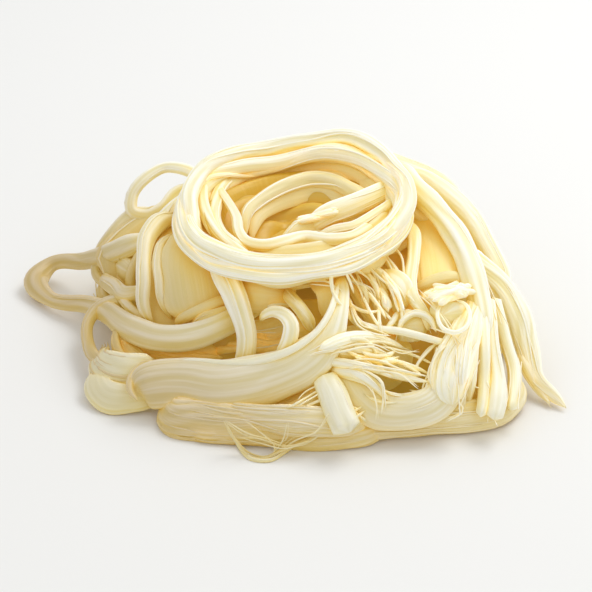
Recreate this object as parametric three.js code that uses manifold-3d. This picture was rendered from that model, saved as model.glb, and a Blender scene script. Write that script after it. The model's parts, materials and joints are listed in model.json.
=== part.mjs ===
// Braided string cheese, pulled apart into its strands and dropped in a loose heap: loops, ribbons, torn ends and
// thin shreds over a lumpy core, with one strand wound round the top as a coil. It is one solid that lies on z = 0.
// Millimetres, +Z up, -Y towards the front of the heap.
import * as THREE from "three";
import { mergeVertices } from "three/addons/utils/BufferGeometryUtils.js";
import Module from "manifold-3d";

// The heap is laid out as it looks from in front and above. A stop on a strand is written
// [across, up, height, wide]: across and up are measured on the sight plane, which stands through the aim point
// and faces the eye, height is above the table, and wide is the strand's width there.
const EYE_RISE = THREE.MathUtils.degToRad(35);
const EYE_DISTANCE = 450;
const AIM_HEIGHT = 13.4;

// The middle of the laid-out heap, which becomes the part's origin.
const HEAP_MIDDLE = { x: -2.5, y: -0.8 };

// The strands on the back and the flanks follow an ellipsoid. The core is shaped by all the strands that lie on it:
// its surface is their distance from the heart, averaged over neighbours, less what it keeps clear of them.
const MOUND = { halfWidth: 49, halfDepth: 44, height: 42, y: 3 };
const CORE_CLEARANCE = 1.8;
const CORE_REACH = THREE.MathUtils.degToRad(9); // how far round the heart a strand still shapes the core

const CORE_MESH = { around: 30, down: 18 };

const SIDES = 6;
const THIN = { wide: 3.2, sides: 5 }; // a strand up to this wide has fewer sides
const TURN = THREE.MathUtils.degToRad(20); // how far a strand bends from one ring of corners to the next
const LONGEST_STEP = 9;
const END_SHARE = 0.6; // width of a strand's end faces over its width there
const COIL_STEP = 36; // degrees of a coil turn from one stop to the next
const ROUND = 0.8; // thickness over width of an ordinary strand
const RIBBON = 0.36; // the same for a ribbon
const MERGE = 0.35; // corners of the joined solid closer than this are merged
const ROOM = 400; // side of the box above the table that the joined solid is trimmed to
const DRAPES = 16; // strands over the back and the flanks

const GOLDEN = 0.618034; // steps of this share spread heights evenly

const TOWARDS_EYE = new THREE.Vector3(0, -Math.cos(EYE_RISE), Math.sin(EYE_RISE));
const AIM = new THREE.Vector3(0, 0, AIM_HEIGHT);
const EYE = AIM.clone().addScaledVector(TOWARDS_EYE, EYE_DISTANCE);
const HEART = new THREE.Vector3(0, MOUND.y, 6);

// The point at a height above the table that the eye sees at (across, up) on the sight plane.
function seen(across, up, height) {
  const onPlane = new THREE.Vector3(across, up * Math.sin(EYE_RISE), up * Math.cos(EYE_RISE)).add(AIM);
  const share = (EYE.z - height) / (EYE.z - onPlane.z);
  return EYE.clone().lerp(onPlane, share);
}

const COIL = [
  // Turns of the coil, in plan: angles run anticlockwise from +X, and a turn climbs from z by rise.
  { name: "low_turn", x: -0.8, y: 4.5, rx: 28, ry: 26.5, z: 33, rise: 2, from: 125, to: 385, wide: 4 },
  { name: "high_turn", x: -0.5, y: 5.5, rx: 25.6, ry: 24.5, z: 36.5, rise: 2, from: 105, to: 430, wide: 4.4 },
  { name: "back_turn", x: 0, y: 6.5, rx: 25.5, ry: 25.5, z: 34.8, rise: 2, from: 20, to: 165, wide: 5 },
  { name: "rim_turn", x: 1, y: 7.5, rx: 26, ry: 26.5, z: 38.5, rise: 2, from: -35, to: 160, wide: 5 },
];

const STRANDS = [
  // The broad ribbon across the front, folded back at its left end.
  {
    name: "band",
    flat: RIBBON,
    stops: [
      [-40, -19, 8, 4], [-46, -20, 7, 4.5], [-49, -22.5, 6, 4.5], [-47, -25, 6, 6.5], [-40, -25, 7, 8.5],
      [-33, -23, 8, 11], [-20, -23, 10, 11.5], [-8.5, -21.5, 12, 11], [1.5, -17.5, 16, 10], [7.5, -11.5, 21, 8.5],
      [10.5, -4.5, 26, 5], [11.5, 2, 29, 3.5], [12, 7.5, 31, 1.6],
    ],
  },
  // Loops that stand out on the left.
  {
    name: "left_loop",
    loose: true,
    flat: 0.6,
    stops: [
      [-36.5, 15, 20, 4.5], [-44.5, 10.5, 15, 5], [-54, 7.5, 7.5, 3.5], [-61.5, 7, 4.5, 3.5], [-65, 3, 3.5, 6],
      [-61, -1.5, 3.5, 3.5], [-53, -2, 6, 3.5], [-47, -4.5, 9, 4.5], [-42, -8.5, 12, 6], [-34.5, -11, 14, 6.5],
      [-26, -10.5, 15, 6.5], [-18, -7, 17, 6], [-10, -2, 19, 5.5], [-3, 1.5, 21, 5],
    ],
  },
  {
    name: "small_loop",
    loose: true,
    stops: [
      [-44.5, -1, 12, 2.5], [-49.5, -3, 9, 3], [-52, -7, 7, 2.8], [-52, -11.5, 5.5, 3], [-50, -15.5, 6, 3.2],
      [-43.5, -17.5, 8, 3.5], [-36.5, -19, 8, 3],
    ],
  },
  {
    name: "upper_loop",
    loose: true,
    stops: [
      [-26, 31, 30, 2.2], [-33, 32, 31, 2.2], [-38, 29, 29, 2.2], [-41, 25, 26, 2.3], [-41, 21, 23, 2.6],
      [-37, 20.5, 22, 2.6], [-33, 22.5, 24, 2.4], [-31, 26, 27, 2.2], [-28, 30, 28, 2.2],
    ],
  },
  // The left flank.
  {
    name: "left_shoulder",
    stops: [
      [-34, 22, 23, 3.5], [-41.5, 19.5, 21, 4], [-46, 15, 17, 4], [-49, 11, 13, 3.5], [-50, 6.5, 9, 3],
      [-48, 1.5, 8, 3],
    ],
  },
  {
    name: "left_drop",
    stops: [
      [-29.5, 22.5, 27, 3], [-34, 19, 26, 3.8], [-37, 12.5, 24, 3.8], [-38, 5, 21, 3.8], [-37, -2, 18, 3.5],
      [-35, -9, 12, 3],
    ],
  },
  {
    name: "thin_drop",
    stops: [[-27.5, 18.5, 28, 2.5], [-32, 12.5, 25, 2.5], [-34, 5, 22, 2.5], [-34, -2, 18, 2.5], [-32.5, -8, 12, 2.5]],
  },
  { name: "upper_fold", stops: [[-49, 8.5, 10, 2.5], [-44, 6.5, 14, 3], [-39.5, 8, 17, 3], [-36, 11.5, 18, 2.5]] },
  { name: "lower_fold", stops: [[-49, 1.5, 9, 2.3], [-45, 4, 13, 2.5], [-42, 2, 14, 2.5], [-41, -2.5, 11, 2.2]] },
  { name: "wall", flat: 0.6, stops: [[-30, 18, 26, 5], [-28, 10, 24, 6.5], [-25, 3, 21, 7], [-22, -5.5, 16, 6]] },
  { name: "wall_crease", stops: [[-34.5, -6.5, 14, 3], [-26.5, -3, 18.5, 3], [-18.5, 0.5, 22.5, 3]] },
  // The middle of the front.
  {
    name: "centre_drop",
    stops: [
      [-21, 11.5, 29, 5.5], [-18, 5, 27.5, 6], [-15, 0, 26, 4.8], [-12.5, -6, 23, 4], [-13, -11.5, 19, 4],
      [-15, -16.5, 13, 4],
    ],
  },
  {
    name: "hook",
    stops: [
      [-11, -9, 19, 2.3], [-8.5, -5.5, 23, 2.8], [-5, -4, 25, 3.1], [-1.5, -6, 25, 3.3], [-1, -10, 22, 3.5],
      [-3, -14, 18, 3.5], [-5, -17.5, 13, 3.5],
    ],
  },
  {
    name: "centre_wall",
    stops: [[-15, 1, 21, 5.5], [-8, 0, 22, 6.5], [-1, 2, 23, 5.5], [6.5, 1.5, 24, 4], [12, -1.5, 23, 2.5]],
  },
  { name: "centre_slant", stops: [[-4, 1, 24, 3], [1, -4, 22, 3], [4.5, -8.5, 19, 2.5]] },
  { name: "chunk", flat: 0.7, stops: [[6.5, -20, 14, 5], [9, -24, 12, 6], [12, -29, 9, 6.2], [14, -33, 6.5, 5.5]] },
  // The right side: a broad ribbon low down, torn shreds over it and a fan of fibres beside it.
  {
    name: "base_ribbon",
    flat: RIBBON,
    stops: [
      [12, -16, 17, 5], [14, -22, 13, 7.5], [19.5, -28, 9, 9], [27, -29, 8, 9], [35, -26.5, 10, 9],
      [39, -20, 14, 7.5], [42, -12, 18, 6], [44.5, -5, 21, 5],
    ],
  },
  { name: "shred_1", stops: [[5.5, -13.5, 21, 2.5], [12, -11, 22, 3.5], [20, -10.5, 20, 2.5], [27, -13, 17, 1]] },
  { name: "shred_2", stops: [[9, -13.5, 19, 4], [16.5, -14, 18, 3.5], [24, -16, 15, 2], [28, -19, 12.5, 1]] },
  { name: "shred_3", stops: [[5.5, -16, 16.5, 2.3], [16.5, -17.5, 18, 2], [25, -19.5, 16, 1.5], [33.5, -21.5, 14, 1]] },
  { name: "shred_4", stops: [[8.5, -18, 15, 3], [16.5, -20, 16, 3], [20.5, -23, 14, 2], [23, -26.5, 11, 1.5]] },
  {
    name: "fan_1",
    loose: true,
    stops: [[43, -1, 21, 4], [40, -11, 19, 4], [36.5, -19, 14.5, 3.5], [35, -25.5, 11.5, 2.5]],
  },
  { name: "fan_2", loose: true, stops: [[44, -1, 22, 4], [42, -12, 19.5, 4], [41, -20.5, 15, 3.3], [42, -28.5, 6, 1]] },
  { name: "fan_3", loose: true, stops: [[45.5, -1, 22, 3.5], [44, -12, 18, 3.2], [43.5, -21, 12, 2.5], [43, -28, 5, 1]] },
  { name: "fan_4", loose: true, stops: [[46.5, -1, 22, 3.5], [47, -12, 17, 3], [47, -20.5, 11, 2.8], [47, -27, 4, 2]] },
  { name: "fan_5", loose: true, stops: [[47.5, -0.5, 21, 4], [49, -11, 16, 3.3], [50.5, -20, 10, 4], [50, -29, 3.5, 3.5]] },
  { name: "fan_6", loose: true, stops: [[49, -0.5, 20, 3.5], [52, -10, 14, 3], [54.5, -18.5, 8, 3], [54, -26, 3, 2.3]] },
  {
    name: "tail",
    loose: true,
    flat: 0.6,
    stops: [
      [42.5, 11, 28, 4.5], [50, 2, 20, 6], [54.5, -6.5, 14, 6.5], [56.5, -13.5, 9, 5.5], [59.5, -20, 5, 4.3],
      [64, -24.5, 2.8, 3.3], [67.5, -28, 1.2, 1],
    ],
  },
  {
    name: "right_strand",
    stops: [
      [25, 34.5, 36, 4], [29.5, 27.5, 35, 5.5], [35.5, 21, 33, 6], [41, 13, 29, 6], [44.5, 4, 25, 6],
      [46.5, -5.5, 20, 5.5], [47, -13.5, 15, 4],
    ],
  },
  {
    name: "right_outer",
    stops: [[27, 33, 35, 4.5], [40, 23, 29, 6], [46.5, 14, 24, 5.5], [50.5, 6, 19, 5.5], [52.5, -2, 14, 5]],
  },
  {
    name: "back_shoulder",
    stops: [[15.5, 36.8, 39, 4.5], [33.5, 31, 30.5, 5.5], [40, 26.5, 27, 5.5], [44.5, 20.5, 22, 4.5], [48.5, 13, 16, 4]],
  },
  {
    name: "inner_right",
    stops: [[24.5, 17, 30, 3], [28, 13, 28.5, 3.5], [29.5, 7, 26, 3.2], [29, 1, 23, 3.5], [31, -6, 19, 3]],
  },
  { name: "knot", stops: [[32, -0.5, 24, 2.8], [35.5, 2, 27, 4], [39.5, 3, 27.5, 4], [42.5, 0, 25, 2.5]] },
  {
    name: "curl",
    stops: [[36, -1, 25, 2], [35, -5, 24, 2], [38, -8.5, 23, 2.2], [41.5, -7, 23, 2.2], [42.5, -3, 24, 2], [40.5, 1, 26, 2]],
  },
  {
    name: "arch",
    stops: [[24, -9, 18, 2.5], [26.5, -5, 22, 3.2], [31, -3, 24, 3.5], [35, -5.5, 22, 3], [36.5, -10, 18, 2.5]],
  },
  {
    name: "rail",
    stops: [[12, -5, 21, 2], [17, -8, 21, 2.3], [26, -10, 20.5, 2.3], [36, -10.5, 20, 2.3], [42.5, -12.5, 17, 2]],
  },
  { name: "frizz_1", stops: [[12.5, 10, 28, 1.8], [18, 6.5, 27, 2.2], [22, 1.5, 25, 2.2], [23, -4.5, 21, 1.6]] },
  { name: "frizz_2", stops: [[16.5, 12, 29, 2], [23, 8.5, 28, 2.5], [26.5, 2, 25, 2.5], [27, -4.5, 21, 1.7]] },
  { name: "frizz_3", stops: [[12, 3.5, 24, 1.5], [16.5, 2.5, 24, 1.5], [19.5, -1, 22, 1.5], [20.5, -5.5, 19, 1.4]] },
  // The foot of the heap.
  {
    name: "skirt_left",
    flat: 0.6,
    stops: [[-34.5, -29.5, 4, 4], [-26.5, -32, 4.5, 7.5], [-16, -32.5, 5, 8.5], [-6, -31, 6, 8], [4, -27, 9, 6.5]],
  },
  {
    name: "skirt_middle",
    stops: [[-17.5, -35, 2.5, 3], [-8.5, -36, 3, 4], [2, -35, 3.5, 6], [12, -35, 3.5, 6], [22, -33, 4, 4.5]],
  },
  {
    name: "skirt_right",
    flat: 0.6,
    stops: [[14, -32, 4, 6], [26, -31, 4, 6], [38, -29.5, 4, 6.5], [49, -27.5, 4.5, 8], [55, -23.5, 4.5, 5]],
  },
  {
    name: "wisp_loop",
    loose: true,
    stops: [
      [-18, -31, 5, 1], [-15, -36, 1.2, 1], [-11.5, -40.5, 0.6, 0.9], [-6.5, -41, 0.6, 0.9], [-3, -39, 0.7, 1],
      [1, -36, 1.5, 1.2],
    ],
  },
  // Strands that cross the dip inside the coil.
  {
    name: "nest_arch",
    stops: [
      [-15, 17, 28, 2.5], [-10, 22.5, 30, 3.5], [-1.5, 27, 31, 5], [7, 27, 32, 5.5], [15.5, 24.5, 33, 4.5],
      [22, 20.5, 32, 3],
    ],
  },
  {
    name: "nest_thin",
    stops: [
      [-25, 27, 33, 2.3], [-18.5, 25, 33, 2.3], [-15, 21, 32, 2.3], [-14, 16, 31, 2.5], [-8.5, 12.5, 31, 2.8],
      [0, 14, 32, 2.5], [6.5, 15, 33, 2.5], [13.5, 17, 33, 2.3],
    ],
  },
  { name: "nest_end", stops: [[1, 19, 30.5, 3.5], [7.5, 21, 33, 5], [15.5, 22.5, 35, 4.5], [23.5, 26, 35, 4]] },
  {
    name: "nest_front",
    stops: [[-22, 21.5, 33, 3], [-17.5, 13.5, 33, 3.3], [-10, 10.5, 33.5, 3.5], [-1.5, 11, 33.5, 3.5], [7, 13.5, 34, 3]],
  },
  { name: "nest_left", stops: [[-11.5, 35, 33, 3], [-20, 31, 33, 3.5], [-23, 25.5, 33, 3], [-21, 18.5, 32, 2.5]] },
  {
    name: "nest_back",
    stops: [
      [-18.5, 32, 32, 3.5], [-8.5, 35, 33, 4], [3.5, 35, 34, 4.5], [15, 33, 35, 5], [22.5, 28.5, 34.5, 4.5],
      [24, 23, 33, 3],
    ],
  },
];

// A number from 0 to 1 that looks random and is the same each time.
function chance(index, stream) {
  const value = Math.sin(index * 12.9898 + stream * 78.233) * 43758.5453;
  return value - Math.floor(value);
}

// The point of the mound's surface at a bearing (0 is +X) and a slope angle above the table, moved out by a distance.
function onMound(bearing, slope, out) {
  const flat = Math.cos(slope);
  return new THREE.Vector3(
    (MOUND.halfWidth + out) * Math.cos(bearing) * flat,
    MOUND.y + (MOUND.halfDepth + out) * Math.sin(bearing) * flat,
    (MOUND.height + out) * Math.sin(slope),
  );
}

// One strand draped over the back or a flank, in an arc that bulges up or sags.
function drape(index) {
  const bearing = THREE.MathUtils.degToRad(12 + (150 * (index + chance(index, 1))) / DRAPES);
  const sweep = THREE.MathUtils.degToRad(40 + 35 * chance(index, 2)) * (index % 2 ? 1 : -1);
  const slope = THREE.MathUtils.degToRad(4 + 50 * ((index * GOLDEN) % 1));
  const bulge = THREE.MathUtils.degToRad(12 + 22 * chance(index, 4)) * (index % 3 ? 1 : -0.5);
  const points = [0, 1, 2, 3, 4].map((step) => {
    const share = step / 4;
    const lift = Math.sin(Math.PI * share);
    const out = -2 + 3 * lift * chance(index, 5);
    return onMound(bearing + sweep * (share - 0.5), Math.max(slope + bulge * (lift - 0.5), 0.06), out);
  });
  return { name: "drape_" + index, flat: ROUND, points, widths: [3 + 3.5 * chance(index, 6)] };
}

function coilTurn({ name, x, y, rx, ry, z, rise, from, to, wide }) {
  const count = Math.ceil((to - from) / COIL_STEP);
  const points = [];
  for (let i = 0; i <= count; i++) {
    const angle = THREE.MathUtils.degToRad(from + ((to - from) * i) / count);
    const right = Math.cos(angle);
    points.push(new THREE.Vector3(x + rx * right, y + ry * Math.sin(angle), z + rise * right));
  }
  return { name, flat: ROUND, points, widths: [wide] };
}

// The whole angle through which a path turns.
function bendOf(path) {
  const samples = 40;
  let bend = 0;
  for (let i = 0; i < samples; i++) {
    bend += path.getTangent(i / samples).angleTo(path.getTangent((i + 1) / samples));
  }
  return bend;
}

// A closed tube of oval section along smooth points: a cylinder bent along the path, with its broad side towards the
// eye or, for a strand on the back, away from the heart.
function strandGeometry({ points, widths, flat }, broadside) {
  const path = new THREE.CatmullRomCurve3(points);
  const steps = Math.ceil(Math.max(bendOf(path) / TURN, path.getLength() / LONGEST_STEP, 4));
  const sides = Math.max(...widths) > THIN.wide ? SIDES : THIN.sides;
  const tube = new THREE.CylinderGeometry(1, 1, 1, sides, steps);
  const frames = [];
  let side = new THREE.Vector3();
  for (let i = 0; i <= steps; i++) {
    const share = i / steps;
    const centre = path.getPoint(share);
    const along = path.getTangent(share);
    const wanted = new THREE.Vector3().crossVectors(along, broadside(centre));
    side = wanted.dot(side) < 0 ? wanted.negate().normalize() : wanted.normalize();
    const depth = new THREE.Vector3().crossVectors(side, along);
    const place = share * (widths.length - 1);
    const before = Math.floor(place);
    const after = Math.min(before + 1, widths.length - 1);
    const wide = THREE.MathUtils.lerp(widths[before], widths[after], place - before);
    const shrink = i === 0 || i === steps ? END_SHARE : 1;
    frames.push({ centre, side: side.clone(), depth, half: (wide / 2) * shrink });
  }
  const at = tube.getAttribute("position");
  for (let i = 0; i < at.count; i++) {
    const frame = frames[Math.round((at.getY(i) + 0.5) * steps)];
    const point = frame.centre
      .clone()
      .addScaledVector(frame.side, at.getX(i) * frame.half)
      .addScaledVector(frame.depth, at.getZ(i) * frame.half * flat);
    at.setXYZ(i, point.x, point.y, point.z);
  }
  return tube;
}

// The core under the strands.
function coreGeometry(bed) {
  const ball = new THREE.SphereGeometry(1, CORE_MESH.around, CORE_MESH.down);
  const at = ball.getAttribute("position");
  const arms = bed.map((point) => point.clone().sub(HEART));
  for (let i = 0; i < at.count; i++) {
    const way = new THREE.Vector3().fromBufferAttribute(at, i);
    let total = 0;
    let weights = 0;
    for (const arm of arms) {
      const apart = way.angleTo(arm) / CORE_REACH;
      const weight = Math.exp(-apart * apart);
      total += weight * arm.length();
      weights += weight;
    }
    way.multiplyScalar(total / weights - CORE_CLEARANCE).add(HEART);
    at.setXYZ(i, way.x, way.y, way.z);
  }
  return ball;
}

// Everything above the table.
function roomGeometry() {
  return new THREE.BoxGeometry(ROOM, ROOM, ROOM).translate(0, 0, ROOM / 2);
}

const wasm = await Module();
wasm.setup();

function solid(geometry) {
  geometry.deleteAttribute("normal");
  geometry.deleteAttribute("uv");
  const closed = mergeVertices(geometry);
  return new wasm.Manifold(
    new wasm.Mesh({
      numProp: 3,
      vertProperties: closed.getAttribute("position").array,
      triVerts: new Uint32Array(closed.index.array),
    }),
  );
}

function geometryOf(joined) {
  const mesh = joined.getMesh();
  const geometry = new THREE.BufferGeometry();
  geometry.setAttribute("position", new THREE.BufferAttribute(mesh.vertProperties, 3));
  geometry.setIndex(new THREE.BufferAttribute(mesh.triVerts, 1));
  geometry.computeVertexNormals();
  return geometry;
}

const towardsEye = () => TOWARDS_EYE;
const outwards = (point) => point.clone().sub(HEART).normalize();

function laidOut({ name, flat = ROUND, loose, stops }) {
  return { name, flat, loose, points: stops.map((s) => seen(s[0], s[1], s[2])), widths: stops.map((s) => s[3]) };
}

const laid = [...STRANDS.map(laidOut), ...COIL.map(coilTurn)];
const draped = Array.from({ length: DRAPES }, (_, index) => drape(index));
const bed = [...laid, ...draped].filter((strand) => !strand.loose).flatMap((strand) => strand.points);

let heap = solid(coreGeometry(bed));
for (const strand of laid) {
  heap = heap.add(solid(strandGeometry(strand, towardsEye)));
}
for (const strand of draped) {
  heap = heap.add(solid(strandGeometry(strand, outwards)));
}
heap = heap.intersect(solid(roomGeometry())).simplify(MERGE);
const bodies = heap.decompose().sort((a, b) => b.volume() - a.volume());

const cheese = new THREE.Mesh(
  geometryOf(bodies[0]),
  new THREE.MeshStandardMaterial({ color: 0xf0e7c4, roughness: 0.42, metalness: 0 }),
);
cheese.name = "string_cheese";
cheese.position.set(-HEAP_MIDDLE.x, -HEAP_MIDDLE.y, 0);

const part = new THREE.Group();
part.add(cheese);

export default part;
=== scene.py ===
"""Braided string cheese, pulled apart into its strands and dropped in a loose heap.

The strands are laid out in millimetres as they look from in front and above, and are swept into fibrous
tubes. Under them lie smaller strands and a lumpy core, so the gaps between them are deep, with painted
golden shade.
"""

import json
import math

import bmesh
import bpy
import numpy as np
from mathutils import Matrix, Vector

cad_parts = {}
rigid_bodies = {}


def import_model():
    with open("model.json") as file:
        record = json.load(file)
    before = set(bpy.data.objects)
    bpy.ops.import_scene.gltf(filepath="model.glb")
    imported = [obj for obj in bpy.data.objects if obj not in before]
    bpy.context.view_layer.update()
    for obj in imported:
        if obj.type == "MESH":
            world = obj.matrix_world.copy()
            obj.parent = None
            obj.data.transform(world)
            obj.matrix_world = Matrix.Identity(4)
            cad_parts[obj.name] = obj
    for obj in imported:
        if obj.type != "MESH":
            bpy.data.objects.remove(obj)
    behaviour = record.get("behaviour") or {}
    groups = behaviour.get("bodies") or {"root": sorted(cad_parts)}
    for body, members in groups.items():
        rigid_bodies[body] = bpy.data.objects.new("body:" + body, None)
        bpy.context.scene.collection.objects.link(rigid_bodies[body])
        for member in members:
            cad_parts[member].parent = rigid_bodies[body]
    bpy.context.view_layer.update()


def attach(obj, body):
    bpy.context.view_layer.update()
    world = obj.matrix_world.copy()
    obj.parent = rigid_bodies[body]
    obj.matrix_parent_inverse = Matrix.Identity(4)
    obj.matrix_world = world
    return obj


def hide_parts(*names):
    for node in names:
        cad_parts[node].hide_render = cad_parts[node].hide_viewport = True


bl_info = {
    "name": "Pulled String Cheese",
    "version": (1, 0, 0),
    "blender": (4, 5, 0),
    "location": "View3D > Sidebar > Cheese",
    "description": "A loose heap of pulled string cheese, strand by strand",
    "category": "Add Mesh",
}

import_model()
NODE = "string_cheese"
BODY = "root"
MM = 0.001
TABLE_GAP = 0.02  # mm that the lowest points keep clear of the table

# The sight that the strands are laid out on: a stop on a strand is (across, up, height, wide). Across and
# up lie on the sight plane through the aim point, height is above the table, and wide is the strand's width.
EYE_RISE = math.radians(35)
EYE_DISTANCE = 450.0
AIM_HEIGHT = 13.4
VIEW_WIDTH = 148.0
HEAP_MIDDLE = np.array([-2.5, -0.8, 0.0])
TOWARDS_EYE = np.array([0.0, -math.cos(EYE_RISE), math.sin(EYE_RISE)])
AIM = np.array([0.0, 0.0, AIM_HEIGHT])
EYE = AIM + TOWARDS_EYE * EYE_DISTANCE

# The mound that carries the strands of the back and the flanks.
MOUND_HALF = np.array([49.0, 44.0, 42.0])
HEART = np.array([0.0, 3.0, 6.0])
GOLDEN_SECTION = 0.618034  # spreads strands evenly

# Thickness of a strand as a share of its width.
ROUND = 0.8
RIBBON = 0.36

# The coil on top, and the bowl inside it.
COIL_MIDDLE = np.array([0.0, 6.0])
COIL_REACH = 27.5
COIL_FOOT = 30.0
COIL_TOP = 44.0
BOWL_REACH = 27.0
BOWL_FLOOR = 17.0
BOWL_RISE = 12.0

# Turns of the coil, in plan: (x, y, rx, ry, z, rise, from, to, wide), with angles anticlockwise from +X.
COIL = [
    (-0.8, 4.5, 28.0, 25.8, 33.8, 2.0, 125, 385, 3.0),
    (-0.6, 5.2, 26.8, 24.7, 36.2, 2.0, 25, 490, 3.6),
    (0.0, 6.5, 26.0, 26.5, 34.6, 2.0, -15, 225, 5.5),
    (1.0, 7.5, 26.6, 27.0, 38.3, 2.0, -50, 205, 4.2),
    (-0.7, 4.8, 27.7, 25.6, 35.2, 2.0, 135, 395, 1.5),
    (-0.5, 5.3, 25.4, 23.4, 37.2, 2.0, 110, 400, 1.3),
    (1.0, 7.2, 25.2, 25.2, 39.3, 2.0, -70, 60, 1.5),
    (0.6, 6.9, 27.6, 26.6, 36.6, 2.0, -60, 80, 1.8),
    (0.5, 6.5, 26.8, 25.8, 38.0, 2.0, -75, 30, 1.5),
]

# Golden turns under the coil and down its inside, in the same order, and then the ones that wind over the
# bowl's floor. Their gold is painted shade.
BOWL_TURNS = [
    (0.3, 6.2, 24.4, 25.2, 31.6, 1.6, -40, 220, 5.0),
    (0.5, 6.4, 21.8, 22.8, 29.0, 1.4, -55, 235, 5.5),
    (0.2, 6.0, 18.6, 19.0, 26.6, 1.0, -50, 230, 5.5),
    (-0.6, 5.8, 24.0, 22.4, 31.2, 1.0, 165, 380, 5.0),
]
FLOOR_TURNS = [
    (0.0, 6.2, 17.5, 17.5, 26.9, 0.3, -80, 250, 6.5),
    (0.3, 5.8, 13.0, 13.0, 24.7, 0.3, 30, 345, 6.5),
    (-0.3, 6.3, 8.5, 8.5, 23.4, 0.3, -60, 230, 6.5),
    (0.0, 6.0, 4.0, 4.0, 22.7, 0.2, 60, 340, 6.0),
]

# Strands round the foot of the flanks: (x, y, z, wide).
FLANKS = {
    "right_foot": [
        (53, -12, 4, 4.5), (53, -2, 5, 5.5), (52, 9, 5, 6), (48, 20, 5, 5.5), (40, 31, 4.5, 5)],
    "right_low": [
        (50, -8, 10, 4.5), (50, 2, 11.5, 5.5), (48.5, 13, 11, 5.5), (42, 25, 9.5, 5), (34, 34, 6, 4.5)],
    "right_middle": [
        (47, -4, 15, 4), (47.5, 4, 17, 5), (45, 13, 17.5, 5), (39.5, 22, 16, 5), (31, 31, 12, 4)],
    "right_high": [(45, 2, 21, 4), (43.5, 9, 22, 4.5), (39.5, 17, 22, 4.5), (33, 25, 20, 4)],
    "left_foot": [(-50, 6, 4, 4.5), (-49, 15, 5, 5.5), (-43, 26, 5, 5.5), (-34, 35, 5, 5)],
    "left_middle": [(-47, 8, 9, 4), (-44, 17, 11, 5), (-38, 26, 12, 5), (-30, 34, 11, 4.5)],
}

# Strands that are listed one by one, in groups: name: (thickness as a share of width, [stops]).
RIBBONS = {
    "band": (RIBBON, [
        (-43, -25.8, 6, 5), (-40.5, -23.6, 7, 8.5), (-36, -22.2, 8.5, 11.3), (-28, -22, 9.5, 12.4),
        (-19, -22.6, 10.5, 12.8), (-9, -21.2, 12, 12), (1.5, -17.2, 16, 10.5), (7.5, -11.5, 21, 8.5),
        (10.5, -4.5, 26, 5), (11.5, 2, 29, 3.5), (12, 7.5, 31, 1.6)]),
    "band_end": (0.6, [
        (-34, -16.5, 10.5, 1.4), (-38.4, -17.2, 10.2, 1.7), (-41, -20, 9, 1.8), (-41.6, -23.4, 7.6, 1.8),
        (-39.6, -26.2, 6, 1.6)]),
    "base_ribbon": (RIBBON, [
        (12, -16, 17, 5), (14, -22, 13, 7.5), (19.5, -28, 9, 9), (27, -29, 8, 9), (35, -26.5, 10, 9),
        (39, -20, 14, 7.5), (42, -12, 18, 6), (44.5, -5, 21, 5)]),
    "skirt_left": (0.35, [
        (-35, -27, 3.5, 7), (-31, -29.8, 4, 9.5), (-24, -31, 4.2, 10), (-13, -32.2, 4.5, 9.5),
        (-2, -32, 5.5, 9), (8, -29.5, 8, 7)]),
    "skirt_front": (0.45, [
        (-31, -33.4, 2, 3.5), (-22, -34.4, 2.2, 4.5), (-9, -34.8, 2.4, 5), (4, -35.6, 2.4, 5.5),
        (15, -35, 2.6, 5.5), (25, -32.8, 2.6, 4)]),
    "skirt_right": (0.4, [
        (8, -33.5, 4, 6), (20, -32, 4, 7.5), (33, -30.5, 4.2, 7.5), (44, -29.8, 4, 7),
        (50.5, -28.4, 4, 6.6), (54.8, -25, 4.2, 6.4), (57.6, -20.4, 4.6, 5)]),
    "skirt_inner": (0.4, [
        (-22, -28.4, 5.5, 4), (-13, -29.8, 6.6, 5.4), (-2, -31, 7.5, 7), (10, -31.5, 7, 7),
        (20, -30, 7, 6)]),
}

FOLDS = {
    "fold_top": (0.3, [
        (-51, -13.5, 6, 4), (-49.6, -16.4, 6.6, 7), (-45.6, -18.6, 7.2, 9.4), (-38, -20.4, 8, 10)]),
    "fold_side": (0.35, [
        (-50.6, -17.4, 4.6, 4), (-50, -21.6, 4.2, 6.4), (-47, -25, 3.6, 7.6), (-41, -25.8, 3.6, 7.4),
        (-34, -26, 4, 6)]),
}

LOOPS = {
    "left_loop": (0.6, [
        (-35.5, 16, 23, 4.4), (-40.5, 13.4, 20.5, 5.2), (-46.5, 10.8, 15.5, 5.4), (-54, 8.6, 8.5, 4.4),
        (-61, 8, 5, 4), (-65, 4, 3.5, 6), (-61, -0.8, 3.5, 3.8), (-53, -2, 6, 4), (-47, -4.2, 9.5, 5),
        (-42, -7.6, 12.5, 5.8), (-34.5, -10.2, 14.5, 6), (-26, -10, 16, 6), (-18, -7, 18, 5.5),
        (-10, -2, 19, 5), (-3, 1.5, 21, 5)]),
    "small_loop": (ROUND, [
        (-41.5, 0.4, 14, 3.4), (-45.6, -1, 12, 3.4), (-49.6, -3.2, 9, 3.3), (-52, -7, 7, 3),
        (-52, -11.5, 5.5, 3), (-50, -15.5, 6, 3.2), (-43.5, -17.5, 8, 3.5), (-36.5, -19, 8, 3)]),
    "upper_loop": (ROUND, [
        (-22, 29, 31, 3), (-28, 31.5, 32, 3), (-33, 32, 31, 2.8), (-38, 29, 29, 2.8), (-41, 25, 26, 3),
        (-41, 21, 23, 3.4), (-37, 20, 22, 3.6), (-33, 22, 24, 3.4), (-30, 26, 27, 3.2),
        (-26, 30, 30, 3.2)]),
}

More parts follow.
